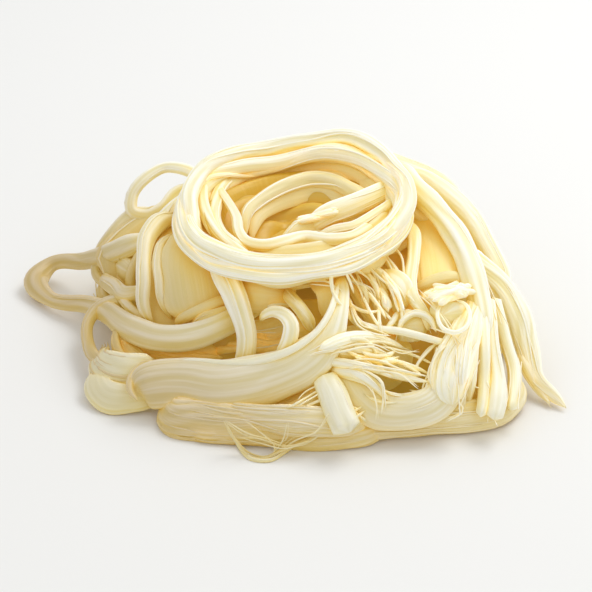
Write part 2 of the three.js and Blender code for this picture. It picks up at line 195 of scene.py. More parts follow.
FRONT = {
    "left_shoulder": (ROUND, [
        (-34, 22, 23, 3.5), (-41.5, 19.5, 21, 4), (-46, 15, 17, 4), (-49, 11, 13, 3.5), (-50, 6.5, 9, 3),
        (-48, 1.5, 8, 3)]),
    "left_drop": (0.6, [
        (-31, 22, 28, 3.5), (-34.5, 18.5, 27.5, 4.6), (-37.3, 14.5, 26.5, 4.4), (-38, 9, 24.5, 3.8),
        (-38.2, 3, 21.5, 3.6), (-38.8, -2, 18, 3.4), (-39.3, -7.5, 14, 2.8)]),
    "thin_drop": (0.7, [
        (-32, 17.5, 27.5, 2), (-34.2, 12.5, 26.3, 2.1), (-34.8, 8, 24.5, 2.1), (-34.3, 3, 21.8, 2.1),
        (-34.4, -2, 18.2, 2), (-34.4, -6, 15.2, 1.8)]),
    "upper_fold": (0.5, [(-50.5, 5.5, 9, 3), (-46, 2.5, 13, 4), (-42.5, 0.5, 15, 4), (-39, 3, 18, 3)]),
    "lower_fold": (0.6, [
        (-46.5, 3.5, 10.5, 2.2), (-43.5, -0.5, 13, 2.4), (-41.2, -4, 13.5, 2.2), (-40.3, -7, 13, 2)]),
    "centre_drop": (0.65, [
        (-19.8, 10.5, 29.5, 5.5), (-17.5, 5, 28, 6.2), (-15.4, 0, 26, 5.8), (-13.6, -5, 23, 5),
        (-12.4, -9.5, 20, 4.5), (-12.4, -13.5, 16.5, 4.3), (-13.2, -17.5, 12.5, 4.2),
        (-14, -20.5, 9.5, 4)]),
    "hook": (0.7, [
        (-9, -6.2, 21, 1.6), (-8, -4.8, 23.4, 2), (-5.6, -3.8, 25, 2.5), (-2.6, -4.6, 25.6, 3.1),
        (-0.9, -7.2, 24.4, 3.5), (-1.3, -10.2, 22, 3.6), (-2.4, -13, 19, 3.7), (-4, -15.8, 15, 3.8)]),
    "curl_core": (0.95, [(39.4, -4.8, 19, 8), (39.4, -4.9, 21.5, 8.2), (39.4, -5, 24.6, 8.2)]),
    "bulge_core": (0.95, [(30.2, -7.6, 16, 7), (30, -7.6, 19.5, 7.4), (29.8, -7.7, 21.5, 7)]),
    "centre_slant": (0.6, [
        (-3.6, 2.6, 26, 2.8), (-1.2, -0.4, 25.6, 3.2), (1.3, -3.6, 24.6, 3.4), (3.2, -6.6, 22.8, 3.4),
        (4.6, -9.6, 20, 3)]),
}

# Broad clear strands, more golden than the ones that lie on them: clearer curd, and painted shade behind
# them.
WALLS = {
    "wall": (0.25, [
        (-25.5, 19, 27.5, 8), (-26.4, 13, 26.2, 12), (-27, 7, 23.8, 14), (-26, 1, 20.6, 15),
        (-25, -5, 16.6, 13), (-25, -9, 13.4, 9)]),
    "nest_wall": (0.3, [
        (-3, 31.6, 30.5, 4), (4, 31.8, 31.4, 7), (11.6, 30.8, 32.2, 9), (18.6, 27.4, 33, 9),
        (23, 22.4, 33.2, 7)]),
    "nest_under": (0.35, [
        (-13, 17, 28.6, 4), (-8.4, 21.6, 29, 5), (-2, 25, 29.4, 6), (5, 26.6, 29.8, 6.4),
        (12, 25, 30.4, 6), (20, 22, 31.4, 6)]),
    "knot_back": (0.6, [(31.6, 1.6, 23.6, 3), (36, 4, 24.6, 3.4), (41, 4.4, 24.8, 3.4), (45, 2, 24, 3)]),
    "wall_crease": (0.6, [
        (-33.5, -7.4, 14.5, 1.8), (-27.5, -5, 17.8, 2.6), (-22, -2.2, 20.6, 3), (-17, 0.5, 22.6, 3)]),
    "wall_shelf": (0.4, [
        (-29, -9.6, 14, 3), (-23, -6.4, 17.4, 4), (-17.5, -4.2, 19.4, 4), (-13, -2.5, 20.6, 3)]),
    "centre_wall": (0.45, [
        (-18, 3.5, 24, 6), (-12.5, 1.2, 24.6, 8.5), (-7.5, 0.2, 24.6, 8.5), (-3.4, 0.4, 24.6, 5),
        (0, 2.4, 25.6, 3)]),
    "centre_low": (0.5, [
        (-12, -3.2, 22.6, 3), (-8.6, -2.4, 23.4, 3.6), (-4, -1.2, 24, 3.6), (-0.5, -1.6, 23.6, 3)]),
    "slant_foot": (0.4, [(0.6, -4.6, 22.4, 3.2), (1.6, -8, 20.4, 4.4), (1.8, -11.6, 17.8, 4)]),
    "band_lining": (0.3, [
        (4, 6.6, 29, 4.5), (7.4, 3, 27.8, 6.4), (8.6, -1, 25.4, 5.6), (7.6, -5.2, 22.4, 4.4)]),
}

RIGHT = {
    "right_strand": (ROUND, [
        (25, 34.5, 36, 4), (29.5, 27.5, 35, 5.5), (35.5, 21, 33, 6), (41, 13, 29, 6), (44.5, 4, 25, 6),
        (46.5, -5.5, 20, 5.5), (47, -13.5, 15, 4)]),
    "right_outer": (ROUND, [
        (27, 33, 35, 4.5), (40, 23, 29, 6), (46.5, 14, 24, 5.5), (50.5, 6, 19, 5.5), (52.5, -2, 14, 5)]),
    "back_shoulder": (ROUND, [
        (15.5, 36, 39, 4.5), (32.5, 29.5, 30.5, 5.5), (38.5, 25, 27, 5.5), (43, 18.5, 22, 4.5),
        (47.5, 11, 16, 4)]),
    "inner_right": (0.6, [
        (27, 21, 31.5, 3.4), (29.4, 14.5, 29.6, 3.4), (29.4, 9, 27.8, 3.2), (28.4, 4, 26.2, 3.4),
        (29.2, -0.4, 24.8, 3.2), (32, -4, 23, 2.8), (36, -9, 20.5, 2.2)]),
    "inner_bulge": (0.5, [
        (21.5, 6.5, 27.4, 3), (25, 4.2, 27, 5), (27.2, 0.4, 25.2, 5.4), (27.6, -4.4, 22, 4)]),
    "tail": (0.6, [
        (42.5, 11, 28, 4.5), (50.5, 3, 20, 6), (55.3, -5.5, 14, 7), (57.5, -13, 9, 6),
        (59.5, -20, 5, 4.3), (64, -24.5, 2.8, 3.3), (67.5, -28, 1.2, 1)]),
    "tail_tip": (0.6, [(56, -13, 9, 2.5), (58, -18, 6.5, 3), (60.5, -23, 3.2, 2.5), (63.5, -27, 1.3, 1)]),
}

FAN = {
    "fan_1": (0.55, [
        (45, -1, 22, 4), (42.5, -9, 20.5, 7), (39, -17, 16, 9.5), (38, -23, 12.5, 8.5),
        (39, -27.5, 9.5, 5)]),
    "fan_2": (ROUND, [(44, -1, 22, 4), (42, -12, 19.5, 4), (41, -20.5, 15, 3.3), (42, -28.5, 6, 1)]),
    "fan_3": (ROUND, [(45.5, -1, 22, 3.5), (44, -12, 18, 3.2), (43.5, -21, 12, 2.5), (43, -28, 5, 1)]),
    "fan_4": (ROUND, [
        (46.5, -1, 22, 3.5), (47, -12, 17, 3), (47, -20.5, 11, 2.8), (46.8, -27, 8, 2.8),
        (46.2, -30.2, 6.4, 2.5)]),
    "fan_5": (ROUND, [
        (47.5, -0.5, 21, 4), (49, -11, 16, 3.3), (50.5, -20, 11, 4), (50.4, -26.5, 8.4, 4.2),
        (49.8, -31, 6.4, 3.4)]),
    "fan_6": (ROUND, [
        (49, -0.5, 20, 3.5), (52, -10, 14, 3), (54.5, -18.5, 9, 3), (54.6, -24.6, 7.4, 3),
        (53.6, -28.4, 6.2, 2.6)]),
}

SHREDS = {
    "chunk": (0.7, [(6.5, -20, 14, 5), (8.5, -24, 12.5, 6.5), (11, -29, 10, 7), (13.5, -34, 7.5, 6.5)]),
    # The band's rolled top edge, in the whiter torn finish as a painted highlight along it.
    "band_highlight_rim": (0.8, [
        (-37.6, -17.2, 11.6, 1.6), (-33, -16.6, 12.8, 1.9), (-26, -16.5, 13.9, 2.0),
        (-18.5, -16.9, 15, 2.0), (-9.3, -16, 17, 1.9), (-1.2, -13.4, 20.4, 1.8), (5.3, -8.6, 24.4, 1.6),
        (8.8, -3.4, 27.6, 1.4), (10.6, 3, 30.4, 1.2)]),
    "shred_1": (ROUND, [
        (5.5, -13.5, 21, 2.5), (12, -11, 22, 3.5), (20, -10.5, 20, 2.5), (27, -13, 17, 1)]),
    "shred_2": (ROUND, [(9, -13.5, 19, 4), (16.5, -14, 18, 3.5), (24, -16, 15, 2), (28, -19, 12.5, 1)]),
    "shred_3": (ROUND, [
        (5.5, -16, 16.5, 2.3), (16.5, -17.5, 18, 2), (25, -19.5, 16, 1.5), (33.5, -21.5, 14, 1)]),
    "shred_4": (ROUND, [(8.5, -18, 15, 3), (16.5, -20, 16, 3), (20.5, -23, 14, 2), (23, -26.5, 11, 1.5)]),
    "curl": (0.9, [
        (38.6, -1, 26, 0.7), (36.2, -2.4, 25.6, 0.9), (35.4, -5, 25.2, 1), (36.8, -8, 24.6, 1),
        (39.6, -9, 24.2, 1), (42.5, -7.6, 24.4, 1), (43.4, -4.6, 25.2, 1), (42.2, -2, 25.8, 0.9),
        (39.6, -0.9, 26, 0.7)]),
    "arch": (0.8, [
        (25.4, -9.8, 19.5, 1.4), (26.4, -6.2, 21.8, 1.6), (29.6, -4.2, 23, 1.8), (33.2, -5.4, 22.6, 1.7),
        (35, -9, 20.8, 1.5)]),
    "rail": (ROUND, [
        (12.2, -3.4, 21.6, 1.4), (15.8, -6.8, 21.4, 1.7), (20, -8.3, 21, 1.8), (25.4, -8.9, 20.8, 1.8),
        (31, -10.2, 20.4, 1.8), (36.4, -11.4, 19.8, 1.7), (42, -12.4, 18, 1.6)]),
    "torn_end": (0.7, [
        (20.4, 2.4, 25.6, 1.6), (22, 0.2, 25.4, 2.2), (22.8, -2.4, 24.2, 2.6), (22.6, -3.9, 23, 2.4)]),
    "frizz_4": (ROUND, [
        (15.8, 8.8, 29, 1.2), (19.6, 6.8, 28.4, 1.6), (22.6, 4.6, 27.6, 1.6), (24.4, 1.6, 26.2, 1.4)]),
    "frizz_5": (ROUND, [
        (15.4, 7.4, 28.4, 1), (18.4, 5, 27.6, 1.3), (20.4, 1.8, 26, 1.3), (21, -1.6, 24, 1)]),
    "frizz_6": (ROUND, [
        (12.4, 4, 26.6, 1.2), (14.6, 3.6, 26.6, 1.2), (17.2, 1.2, 25.8, 1.1), (18, -2.4, 23.6, 1)]),
    "frizz_7": (ROUND, [(25.6, -3.6, 23, 1.4), (24, -6.2, 21.8, 1.4), (22.4, -8.4, 20.6, 1.2)]),
    "frizz_1": (ROUND, [
        (12.5, 10, 28, 1.4), (18, 6.5, 27, 1.7), (22, 1.5, 25, 1.7), (23, -4.5, 21, 1.2)]),
    "frizz_2": (ROUND, [
        (16.5, 12, 29, 1.6), (23, 8.5, 28, 1.9), (26.5, 2, 25, 1.9), (27, -4.5, 21, 1.3)]),
    "frizz_3": (ROUND, [
        (12, 3.5, 24, 1.5), (16.5, 2.5, 24, 1.5), (19.5, -1, 22, 1.5), (20.5, -5.5, 19, 1.4)]),
    "wisp_loop": (ROUND, [
        (-18, -31, 5, 1), (-15, -36, 1.2, 1), (-11.5, -40.5, 0.6, 0.9), (-6.5, -41, 0.6, 0.9),
        (-3, -39, 0.7, 1), (1, -36, 1.5, 1.2)]),
}

NEST = {
    "nest_rim": (ROUND, [
        (-22.6, 33.1, 35, 3), (-23.4, 25.5, 34, 3), (-21.9, 18.7, 33.5, 3), (-16.6, 12.7, 33.5, 3),
        (-11, 9.5, 34, 2.5)]),
    "nest_left": (ROUND, [
        (-15, 32, 32, 3), (-18.9, 26.3, 32, 3.2), (-20.4, 20.3, 32, 3.2), (-18.5, 15, 32.5, 3.2),
        (-13, 11.2, 33, 2.8)]),
    "nest_thin": (ROUND, [
        (-20.5, 29, 33, 2), (-17.6, 24.4, 33, 2.2), (-15, 19.6, 32.8, 2.4), (-14.3, 15.8, 32.6, 2.6),
        (-12, 13.2, 32.8, 3), (-8, 12.6, 33, 3.2), (-2.5, 13.6, 33, 3.2), (2.5, 14.8, 33, 3),
        (8.6, 14, 33.6, 3), (14, 14.6, 34, 3), (21, 19.6, 34.8, 3)]),
    "nest_end": (0.45, [
        (1.8, 19.2, 31.6, 3.4), (5.4, 19.8, 32.6, 4.8), (10.4, 21.4, 33.4, 5.4), (16, 23.6, 34.2, 5.4),
        (22.6, 26.6, 35, 5), (27.4, 29, 35, 4)]),
    "nest_slit": (0.6, [
        (4.4, 16.4, 32, 2.4), (9.4, 16.8, 32.8, 2.6), (14.5, 17.4, 33.6, 2.6), (21, 21, 34.4, 2.6),
        (27, 25.6, 35.4, 2.4)]),
    "back_left": (0.5, [
        (-24.6, 24.6, 33, 4), (-23.6, 29.6, 34, 5.4), (-17.6, 33.8, 34.6, 5.6), (-8.6, 35.8, 35, 5),
        (1, 36.2, 35, 4.4), (10, 35.4, 35, 4), (18, 32, 35, 4), (23, 27.4, 35, 3.6),
        (25.4, 22, 34.6, 3)]),
}

DEEP_NEST = {
    "nest_low": (0.5, [
        (-14, 10.6, 31, 4), (-3.7, 10, 31, 5), (5.4, 11, 31.5, 5), (14, 13.4, 32, 4.5),
        (20.5, 17.6, 33, 3.4), (26, 22.6, 34, 3)]),
    "nest_arch": (0.6, [
        (-14.6, 17.6, 30.5, 2.4), (-12, 21.2, 31, 3), (-7.6, 24.8, 31.6, 3.6), (-2, 27.6, 32, 3.8),
        (4, 29.2, 32.4, 3.8), (9.6, 28.4, 32.8, 3.8), (14.4, 26, 33.2, 3.8), (21, 23.4, 33.4, 3.4)]),
    "nest_foot": (0.4, [(-5, 13.4, 30, 3), (2, 17, 30.6, 4.5), (8.4, 19, 31, 5), (14, 20, 31.6, 5)]),
    "back_inner": (0.45, [
        (-21.6, 23.4, 31.6, 3), (-18.4, 27.4, 32, 4), (-12.6, 31, 32.4, 4.4), (-5.6, 32.6, 32.6, 4),
        (1.6, 32.8, 32.6, 3.4), (9, 32.2, 32.6, 2.6)]),
}

# Thin wisps pulled out of the strands: (wide, [(across, up, height)]).
WISPS = [
    (0.7, [
        (-18.2, -31.2, 9), (-15.4, -35.6, 4.5), (-12, -39.6, 0.8), (-7.6, -40.6, 0.7), (-4.4, -38.6, 1.6),
        (2, -36.6, 3.4), (9, -33, 6.5)]),
    (0.5, [(-17.5, -30.8, 9.5), (-12.6, -34.2, 6.2), (-7, -36.4, 4.2), (-2.2, -37.5, 3.4)]),
    (0.5, [(-12.8, -31.2, 9.5), (-8.6, -34.6, 6.4), (-5.8, -37.2, 3.2), (-6.2, -40.4, 0.8)]),
    (0.4, [(-1.8, -31.8, 9.5), (-2.6, -35.2, 5.8), (-4.9, -37.6, 3), (-5.6, -40, 1)]),
    (0.6, [(8, -30, 11), (4.5, -33.9, 7.4), (-0.4, -36.2, 4.4), (-5.2, -40.4, 0.8)]),
    (0.4, [(-14.8, -35, 5), (-9.4, -36.9, 3.8), (-3, -37.2, 3.4), (4, -35.6, 4.6)]),
    (0.6, [(3.6, 3.2, 29.2), (7.3, 3.4, 29.6), (9.8, 2, 29.4), (11.6, -1, 28)]),
    (0.7, [(15.3, 9, 29.5), (19, 6, 28), (20.5, 1.5, 25.5), (20, -2, 23)]),
    (0.9, [(17.3, 8.5, 30), (22.3, 4.5, 28), (26, 1.5, 26), (28, -2, 23.5)]),
    (0.6, [(12.3, 4.5, 27.5), (16, 3.5, 27), (19, 1, 25.5), (20.5, -3, 23)]),
    (0.7, [(13, -3.5, 24), (16, -7.3, 22.5), (19.8, -9, 21.5), (24, -9.8, 20.5)]),
    (1.0, [(23.5, 14, 31), (26.5, 10.3, 29.5), (27.3, 4, 26.5), (26, -1, 24)]),
    (0.7, [(19, 12, 30.5), (22.5, 9.5, 29.5), (24.5, 5, 27), (24, 0, 24)]),
    (0.6, [(14, 7, 28.5), (16.5, 3, 26.5), (17, -1.5, 24)]),
    (0.7, [(21, -12.5, 20), (26.5, -14, 18), (31, -14, 17.5)]),
    (0.8, [(36, -11, 19), (33.5, -13.5, 18), (29.8, -17.3, 15.5), (29, -21, 13)]),
    (0.8, [(38, -13, 18.5), (34.8, -17.3, 16.5), (32.3, -22.3, 13), (31.5, -26, 10.5)]),
    (0.7, [(40, -10, 20.5), (35, -15, 18.5), (33.5, -20, 15.5), (34.5, -24, 13)]),
    (0.8, [(13.5, -17.5, 18.5), (19.8, -18, 18), (26, -20, 16.5), (31, -23, 14)]),
    (0.7, [(12, -16.5, 18.5), (20, -16.8, 18.5), (27, -18.5, 17), (33, -20, 15.5)]),
    (1.0, [(13.5, -17.5, 18), (21, -21, 16), (22, -24.8, 13.5), (21.8, -29, 10.5)]),
    (0.7, [(12.5, -19, 17), (18.5, -22, 15), (20, -26, 12.5), (20.5, -31, 9.5)]),
    (0.7, [(37.3, -31, 7.5), (41.5, -29, 8.5), (41, -26.8, 9.5), (39, -26, 10), (37.5, -28, 9)]),
    (0.6, [(33, -7, 22.5), (38, -9.5, 21.5), (43, -11, 20.5)]),
    (0.5, [(36, -4, 24.5), (39, -9, 22.5), (42, -13, 20)]),
    (0.5, [(31, 1, 26.5), (35, -3, 25.5), (38.5, -9, 22.5), (40, -13, 20)]),
    (0.7, [(8, -15, 19.5), (13, -13, 21.5), (19, -12.5, 21.5), (24, -14.5, 19)]),
]

# Torn ends: (fibres, how far they spread, (thinnest, thickest), [(across, up, height)]), all in mm.
TUFTS = {
    "knot": (24, 1.9, (1.1, 2.0), [(34.6, 0.3, 26), (38.4, 1, 27), (42.4, 2, 26.6)]),
    "knot_left": (8, 0.8, (0.9, 1.6), [(31.4, -0.3, 25.2), (33.6, 0.6, 26), (36, 1.4, 26.2)]),
    "nest_end": (10, 1.1, (0.8, 1.4), [(0.4, 18.8, 31.6), (5, 19.8, 32.8), (10.4, 21.4, 33.8)]),
    "torn_mass": (11, 1.6, (0.6, 1.1), [(21.6, 6, 27.6), (24.4, 2, 26.6), (26.2, -3.4, 23.6)]),
    "torn_end": (6, 0.6, (0.8, 1.3), [(21, 1.4, 25.6), (22.2, -1, 25), (22.8, -3.6, 23.4)]),
}

# Broad sheets of clear curd behind the strands that show, golden with painted shade.
SHEETS = {
    "left_panel": (0.2, [
        (-25, 20, 25, 10), (-27, 12, 22.5, 15), (-29, 3, 18, 18), (-30, -6, 13, 17),
        (-31, -12, 9.5, 14)]),
    "left_back": (0.2, [
        (-29, 22, 23, 9), (-34, 17.5, 20, 12), (-39, 12.5, 16, 15), (-43.5, 7, 12, 15),
        (-46.5, 2, 9, 10)]),
    "left_edge": (0.5, [(-44, -6, 10, 3.6), (-44, -10, 9, 5), (-42.6, -14, 8, 6), (-38, -18, 8, 5)]),
    "left_low": (0.3, [(-44, -7, 8, 5), (-39, -12, 8.4, 8), (-31, -15, 9, 9), (-20, -16, 9.5, 8)]),
    "low_centre": (0.3, [
        (-24, -12, 9.5, 8), (-15, -11, 11, 10), (-7, -10.5, 12.4, 11), (0, -9, 14.6, 9)]),
    "hook_bed": (0.35, [
        (-9.6, -7, 14.6, 4), (-8, -10.6, 12.6, 6.5), (-7, -14.6, 10.4, 7.5), (-7, -18, 8.4, 6)]),
    "centre_panel": (0.25, [(-17, 5, 20.5, 9), (-9, 3, 21, 12), (-2, 2, 20.6, 9)]),
    "top_panel": (0.25, [
        (-20, 10, 27, 6), (-10, 6.6, 27.4, 8), (0, 5.6, 27.6, 8), (9, 6.6, 27.8, 7), (15, 9, 28, 5)]),
    "frizz_panel": (0.25, [(12, 13, 27, 8), (18, 6, 25, 13), (23, -3, 19.4, 14), (27, -12, 13, 10)]),
    "shred_bed": (0.25, [(10, -10, 15, 8), (20, -15, 11, 12), (30, -20, 7.4, 12)]),
    "fan_bed": (0.3, [(39, -8, 15, 12), (43, -16, 10, 14), (46, -23, 6.5, 14), (47.5, -28.5, 3.5, 11)]),
    "under_band": (0.3, [
        (-36, -25, 3, 7), (-24, -27, 3.5, 9), (-12, -27, 5, 10), (-1, -25, 7, 9), (8, -20, 11, 7)]),
}

# A sheet at the right whose bright gold finish is painted light, for the light that comes through it.
GOLDEN_PANEL = {
    "right_panel": (0.2, [
        (30.5, 25, 29.4, 7), (33, 18, 28.2, 9.5), (34.8, 10, 25.8, 10.5), (36, 2, 22.8, 10),
        (37, -5, 18.6, 8)]),
}

# Teased fibres laid over the heap where the eye sees it: count, (across, up) of two corners of their patch,
# heading in degrees from across, its spread, (shortest, longest), (thinnest, thickest) and (lowest,
# highest) over the bed.
TEASED = {
    "frizz": (15, (10, 0), (25, 10.5), -55, 26, (9, 16), (0.4, 1.1), (0.0, 1.4)),
    "shred": (12, (8, -20), (22, -11), -14, 20, (9, 18), (0.5, 1.3), (0.2, 1.8)),
    "skirt": (10, (-12, -33), (12, -28), 24, 16, (8, 18), (0.35, 0.7), (0.2, 1.0)),
    "fan": (10, (40, -14), (51, -4), -84, 12, (10, 16), (0.5, 1.2), (0.0, 0.8)),
    "lower": (8, (12, -28), (36, -18), -18, 30, (8, 16), (0.35, 0.8), (0.2, 1.2)),
}

TEASED_STOPS = 6  # stops that a teased fibre bends at

# How a strand's surface is made: corners round it, (fibre bundles round it, how far they stand out as a
# share of its half width), the length (mm) over which its ends thin out, and raised threads for each
# millimetre of its width.
STYLES = {
    "ribbon": {"around": 88, "lobes": ((6, 0.04), (17, 0.018)), "tip": 6.0, "threads": 0.7},
    "strand": {"around": 52, "lobes": ((4, 0.07), (11, 0.025)), "tip": 4.0, "threads": 0.7},
    "thread": {"around": 20, "lobes": ((3, 0.09), (6, 0.03)), "tip": 5.0, "threads": 0.3},
    "under": {"around": 28, "lobes": ((5, 0.05), (13, 0.02)), "tip": 6.0, "threads": 0.3},
    "mat": {"around": 88, "lobes": ((11, 0.06), (29, 0.04)), "tip": 3.0, "threads": 4.0},
    "torn": {"around": 44, "lobes": ((7, 0.1), (17, 0.05)), "tip": 5.0, "threads": 2.4},
    "wall": {"around": 88, "lobes": ((5, 0.03), (13, 0.012)), "tip": 7.0, "threads": 0.0},
    "coil": {"around": 60, "lobes": ((5, 0.05), (13, 0.02)), "tip": 14.0, "threads": 0.7},
    "cut": {"around": 88, "lobes": ((5, 0.09), (17, 0.04)), "tip": 0.9, "threads": 1.0},
    "stub": {"around": 52, "lobes": ((5, 0.05), (11, 0.02)), "tip": 1.0, "threads": 0.5},
    "tuft": {"around": 20, "lobes": ((3, 0.1), (7, 0.05)), "tip": 1.4, "threads": 0.6},
    "wisp": {"around": 8, "lobes": ((2, 0.08),), "tip": 8.0, "threads": 0.0},
}

# Colour of the curd by finish, from deep in a gap to the open: (how open it is, colour). Towards the gap
# it is painted shade, darker and more golden; in the open it is the curd's own colour.
BODY_AND_SHADE_COLOURS = {
    "strand": [(0.05, "E9C048"), (0.3, "ECD884"), (0.7, "EFE3AA"), (1.0, "EEE6BA")],
    "thread": [(0.05, "E9C048"), (0.3, "ECD884"), (0.7, "EFE3AA"), (1.0, "EEE6BA")],
    # Clear curd, with a more golden painted shade for strands behind or under others.
    "clear": [(0.1, "E9AA26"), (0.35, "EED27A"), (0.7, "ECDD9E"), (1.0, "E6DAA4")],
    "torn": [(0.1, "E8C766"), (0.35, "EEDC94"), (0.7, "F0EAC0"), (1.0, "F1EED4")],
    "wisp": [(0.1, "F2D88A"), (0.5, "F6E8B4"), (1.0, "FAF3D0")],
    # Painted shade all through: a deep gold for curd seen only down the gaps.
    "packed": [(0.1, "DA9412"), (0.35, "D09E22"), (0.7, "CEA636"), (1.0, "D2AE46")],
    # Painted light all through: a bright gold for the sheet that light comes through.
    "golden": [(0.1, "F2CC60"), (0.35, "FAE08A"), (0.7, "FDE698"), (1.0, "FDE8A0")],
}

# Strands whose surface isn't the ordinary one for their width.
STYLED = {
    "wall": {"band", "nest_wall", "nest_under", "fold_side", "wall", "left_panel", "right_panel",
             "centre_wall", "band_lining", "top_panel"},
    "mat": {"skirt_left", "skirt_right", "skirt_front", "skirt_inner", "fold_top", "fan_1", "shred_1",
            "shred_2", "tail", "hook_bed", "low_centre", "nest_end"},
    "cut": {"chunk"},
    "stub": {"curl_core", "bulge_core", "torn_end", "fan_4", "fan_5", "fan_6"},
}

# Sheets that carry thin strands.
RIDDEN = {"low_centre", "left_low", "hook_bed", "frizz_panel", "shred_bed", "under_band", "left_edge"}
# Strands that lie off the mound, so they don't shape what lies under it.
LOOSE = {"left_loop", "small_loop", "upper_loop", "wisp_loop", "tail", "tail_tip", *FAN}
# Strands whose ends show, and so don't dip into the heap.
FREE = {"hook", "centre_drop", "tail", "tail_tip", "band_end", *FAN, *SHREDS}
# Pieces that loose fibres cling to.
FURRED = ("back_strands", "fan")
CM2_A_M2 = 1e4

# The strands draped over the back. In degrees, the least and the range of where each lies round the heart,
# how far it sweeps round, how high it lies, and how far it bulges or sags.
BACK_STRANDS = 16
BACK_BEARING = (14, 134)
BACK_SWEEP = (40, 35)
BACK_SLOPE = (4, 50)
BACK_BULGE = (12, 22)

# How a swept strand lies and varies, in mm.
FRAY = 3.5  # how far its threads run past its ends
BURY = 3.5  # how deep its ends dip into the heap
DIP_OVER = 8.0  # the length over which they dip
TURN_OVER = 6.0  # the length over which its broad side turns
SWAY_OVER = 9.0  # the length over which it sways
SWELL_OVER = 7.0  # the length over which its width swells
SWELL = 0.05  # how much it swells, as a share of the width

# How milky a strand is, from 0 to 1.
MILK = 0.45  # all over
RIDGE_MILK = 0.4  # more on its ridges
EDGE_MILK_AND_HIGHLIGHT = 0.35  # more on its two edges: milkier thin edges, and a painted highlight along them
THREAD_MILK = 0.7  # on a raised thread
THREAD_SIDES = 6
THREAD_TAPER = 6.0  # the length (mm) over which a raised thread thins out


# ---------------------------------------------------------------------------------------------- shapes


def unit(vectors):
    """Vectors at a length of 1."""
    return vectors / np.maximum(np.linalg.norm(vectors, axis=-1, keepdims=True), 1e-9)


def seen(stops):
    """Points (mm) that the eye sees at (across, up), at each stop's height; the width rides along."""
    stops = np.asarray(stops, float)
    rise = np.array([0.0, math.sin(EYE_RISE), math.cos(EYE_RISE)])
    on_plane = AIM + stops[:, :1] * np.array([1.0, 0.0, 0.0]) + stops[:, 1:2] * rise
    share = (EYE[2] - stops[:, 2]) / (EYE[2] - on_plane[:, 2])
    return np.hstack([EYE + (on_plane - EYE) * share[:, None], stops[:, 3:4]])


def smooth_path(points, spacing):
    """Rows spaced evenly along a centripetal Catmull-Rom curve, and the run (mm) at each row."""
    points = np.asarray(points, float)
    rows = np.vstack([2 * points[0] - points[1], points, 2 * points[-1] - points[-2]])
    gaps = np.maximum(np.linalg.norm(np.diff(rows[:, :3], axis=0), axis=1), 1e-6) ** 0.5
    share = np.linspace(0, 1, 24, endpoint=False)[:, None]
    pieces = []
    for i in range(1, len(rows) - 2):
        before, here, after = gaps[i - 1], gaps[i], gaps[i + 1]
        step = rows[i + 1] - rows[i]
        back = (rows[i] - rows[i - 1]) / before - (rows[i + 1] - rows[i - 1]) / (before + here)
        ahead = (rows[i + 2] - rows[i + 1]) / after
        leave = here * (back + step / here)
        arrive = here * (step / here - (rows[i + 2] - rows[i]) / (here + after) + ahead)
        bend = (3 * step - 2 * leave - arrive) * share**2
        pieces.append(rows[i] + leave * share + bend + (leave + arrive - 2 * step) * share**3)
    dense = np.vstack([*pieces, rows[-2:-1]])
    run = np.concatenate([[0], np.cumsum(np.linalg.norm(np.diff(dense[:, :3], axis=0), axis=1))])
    at = np.linspace(0, run[-1], max(8, int(run[-1] / spacing)))
    return np.stack([np.interp(at, run, column) for column in dense.T], 1), at


def smoothed(values, window):
    """A running mean over a window of rows, with the ends held."""
    window = max(1, int(window)) | 1
    padded = np.pad(values, ((window // 2, window // 2), (0, 0)), mode="edge")
    kernel = np.ones(window) / window
    return np.stack([np.convolve(column, kernel, mode="valid") for column in padded.T], 1)


def frames_along(centres, facing, window):
    """Side and depth directions of each row, with the broad side turned towards facing."""
    along = unit(np.gradient(centres, axis=0))
    side = np.cross(along, facing)
    for i in range(1, len(side)):
        if side[i] @ side[i - 1] < 0:
            side[i] = -side[i]
    side = smoothed(side, window)
    side = unit(side - along * (side * along).sum(1, keepdims=True))
    return along, side, np.cross(side, along)


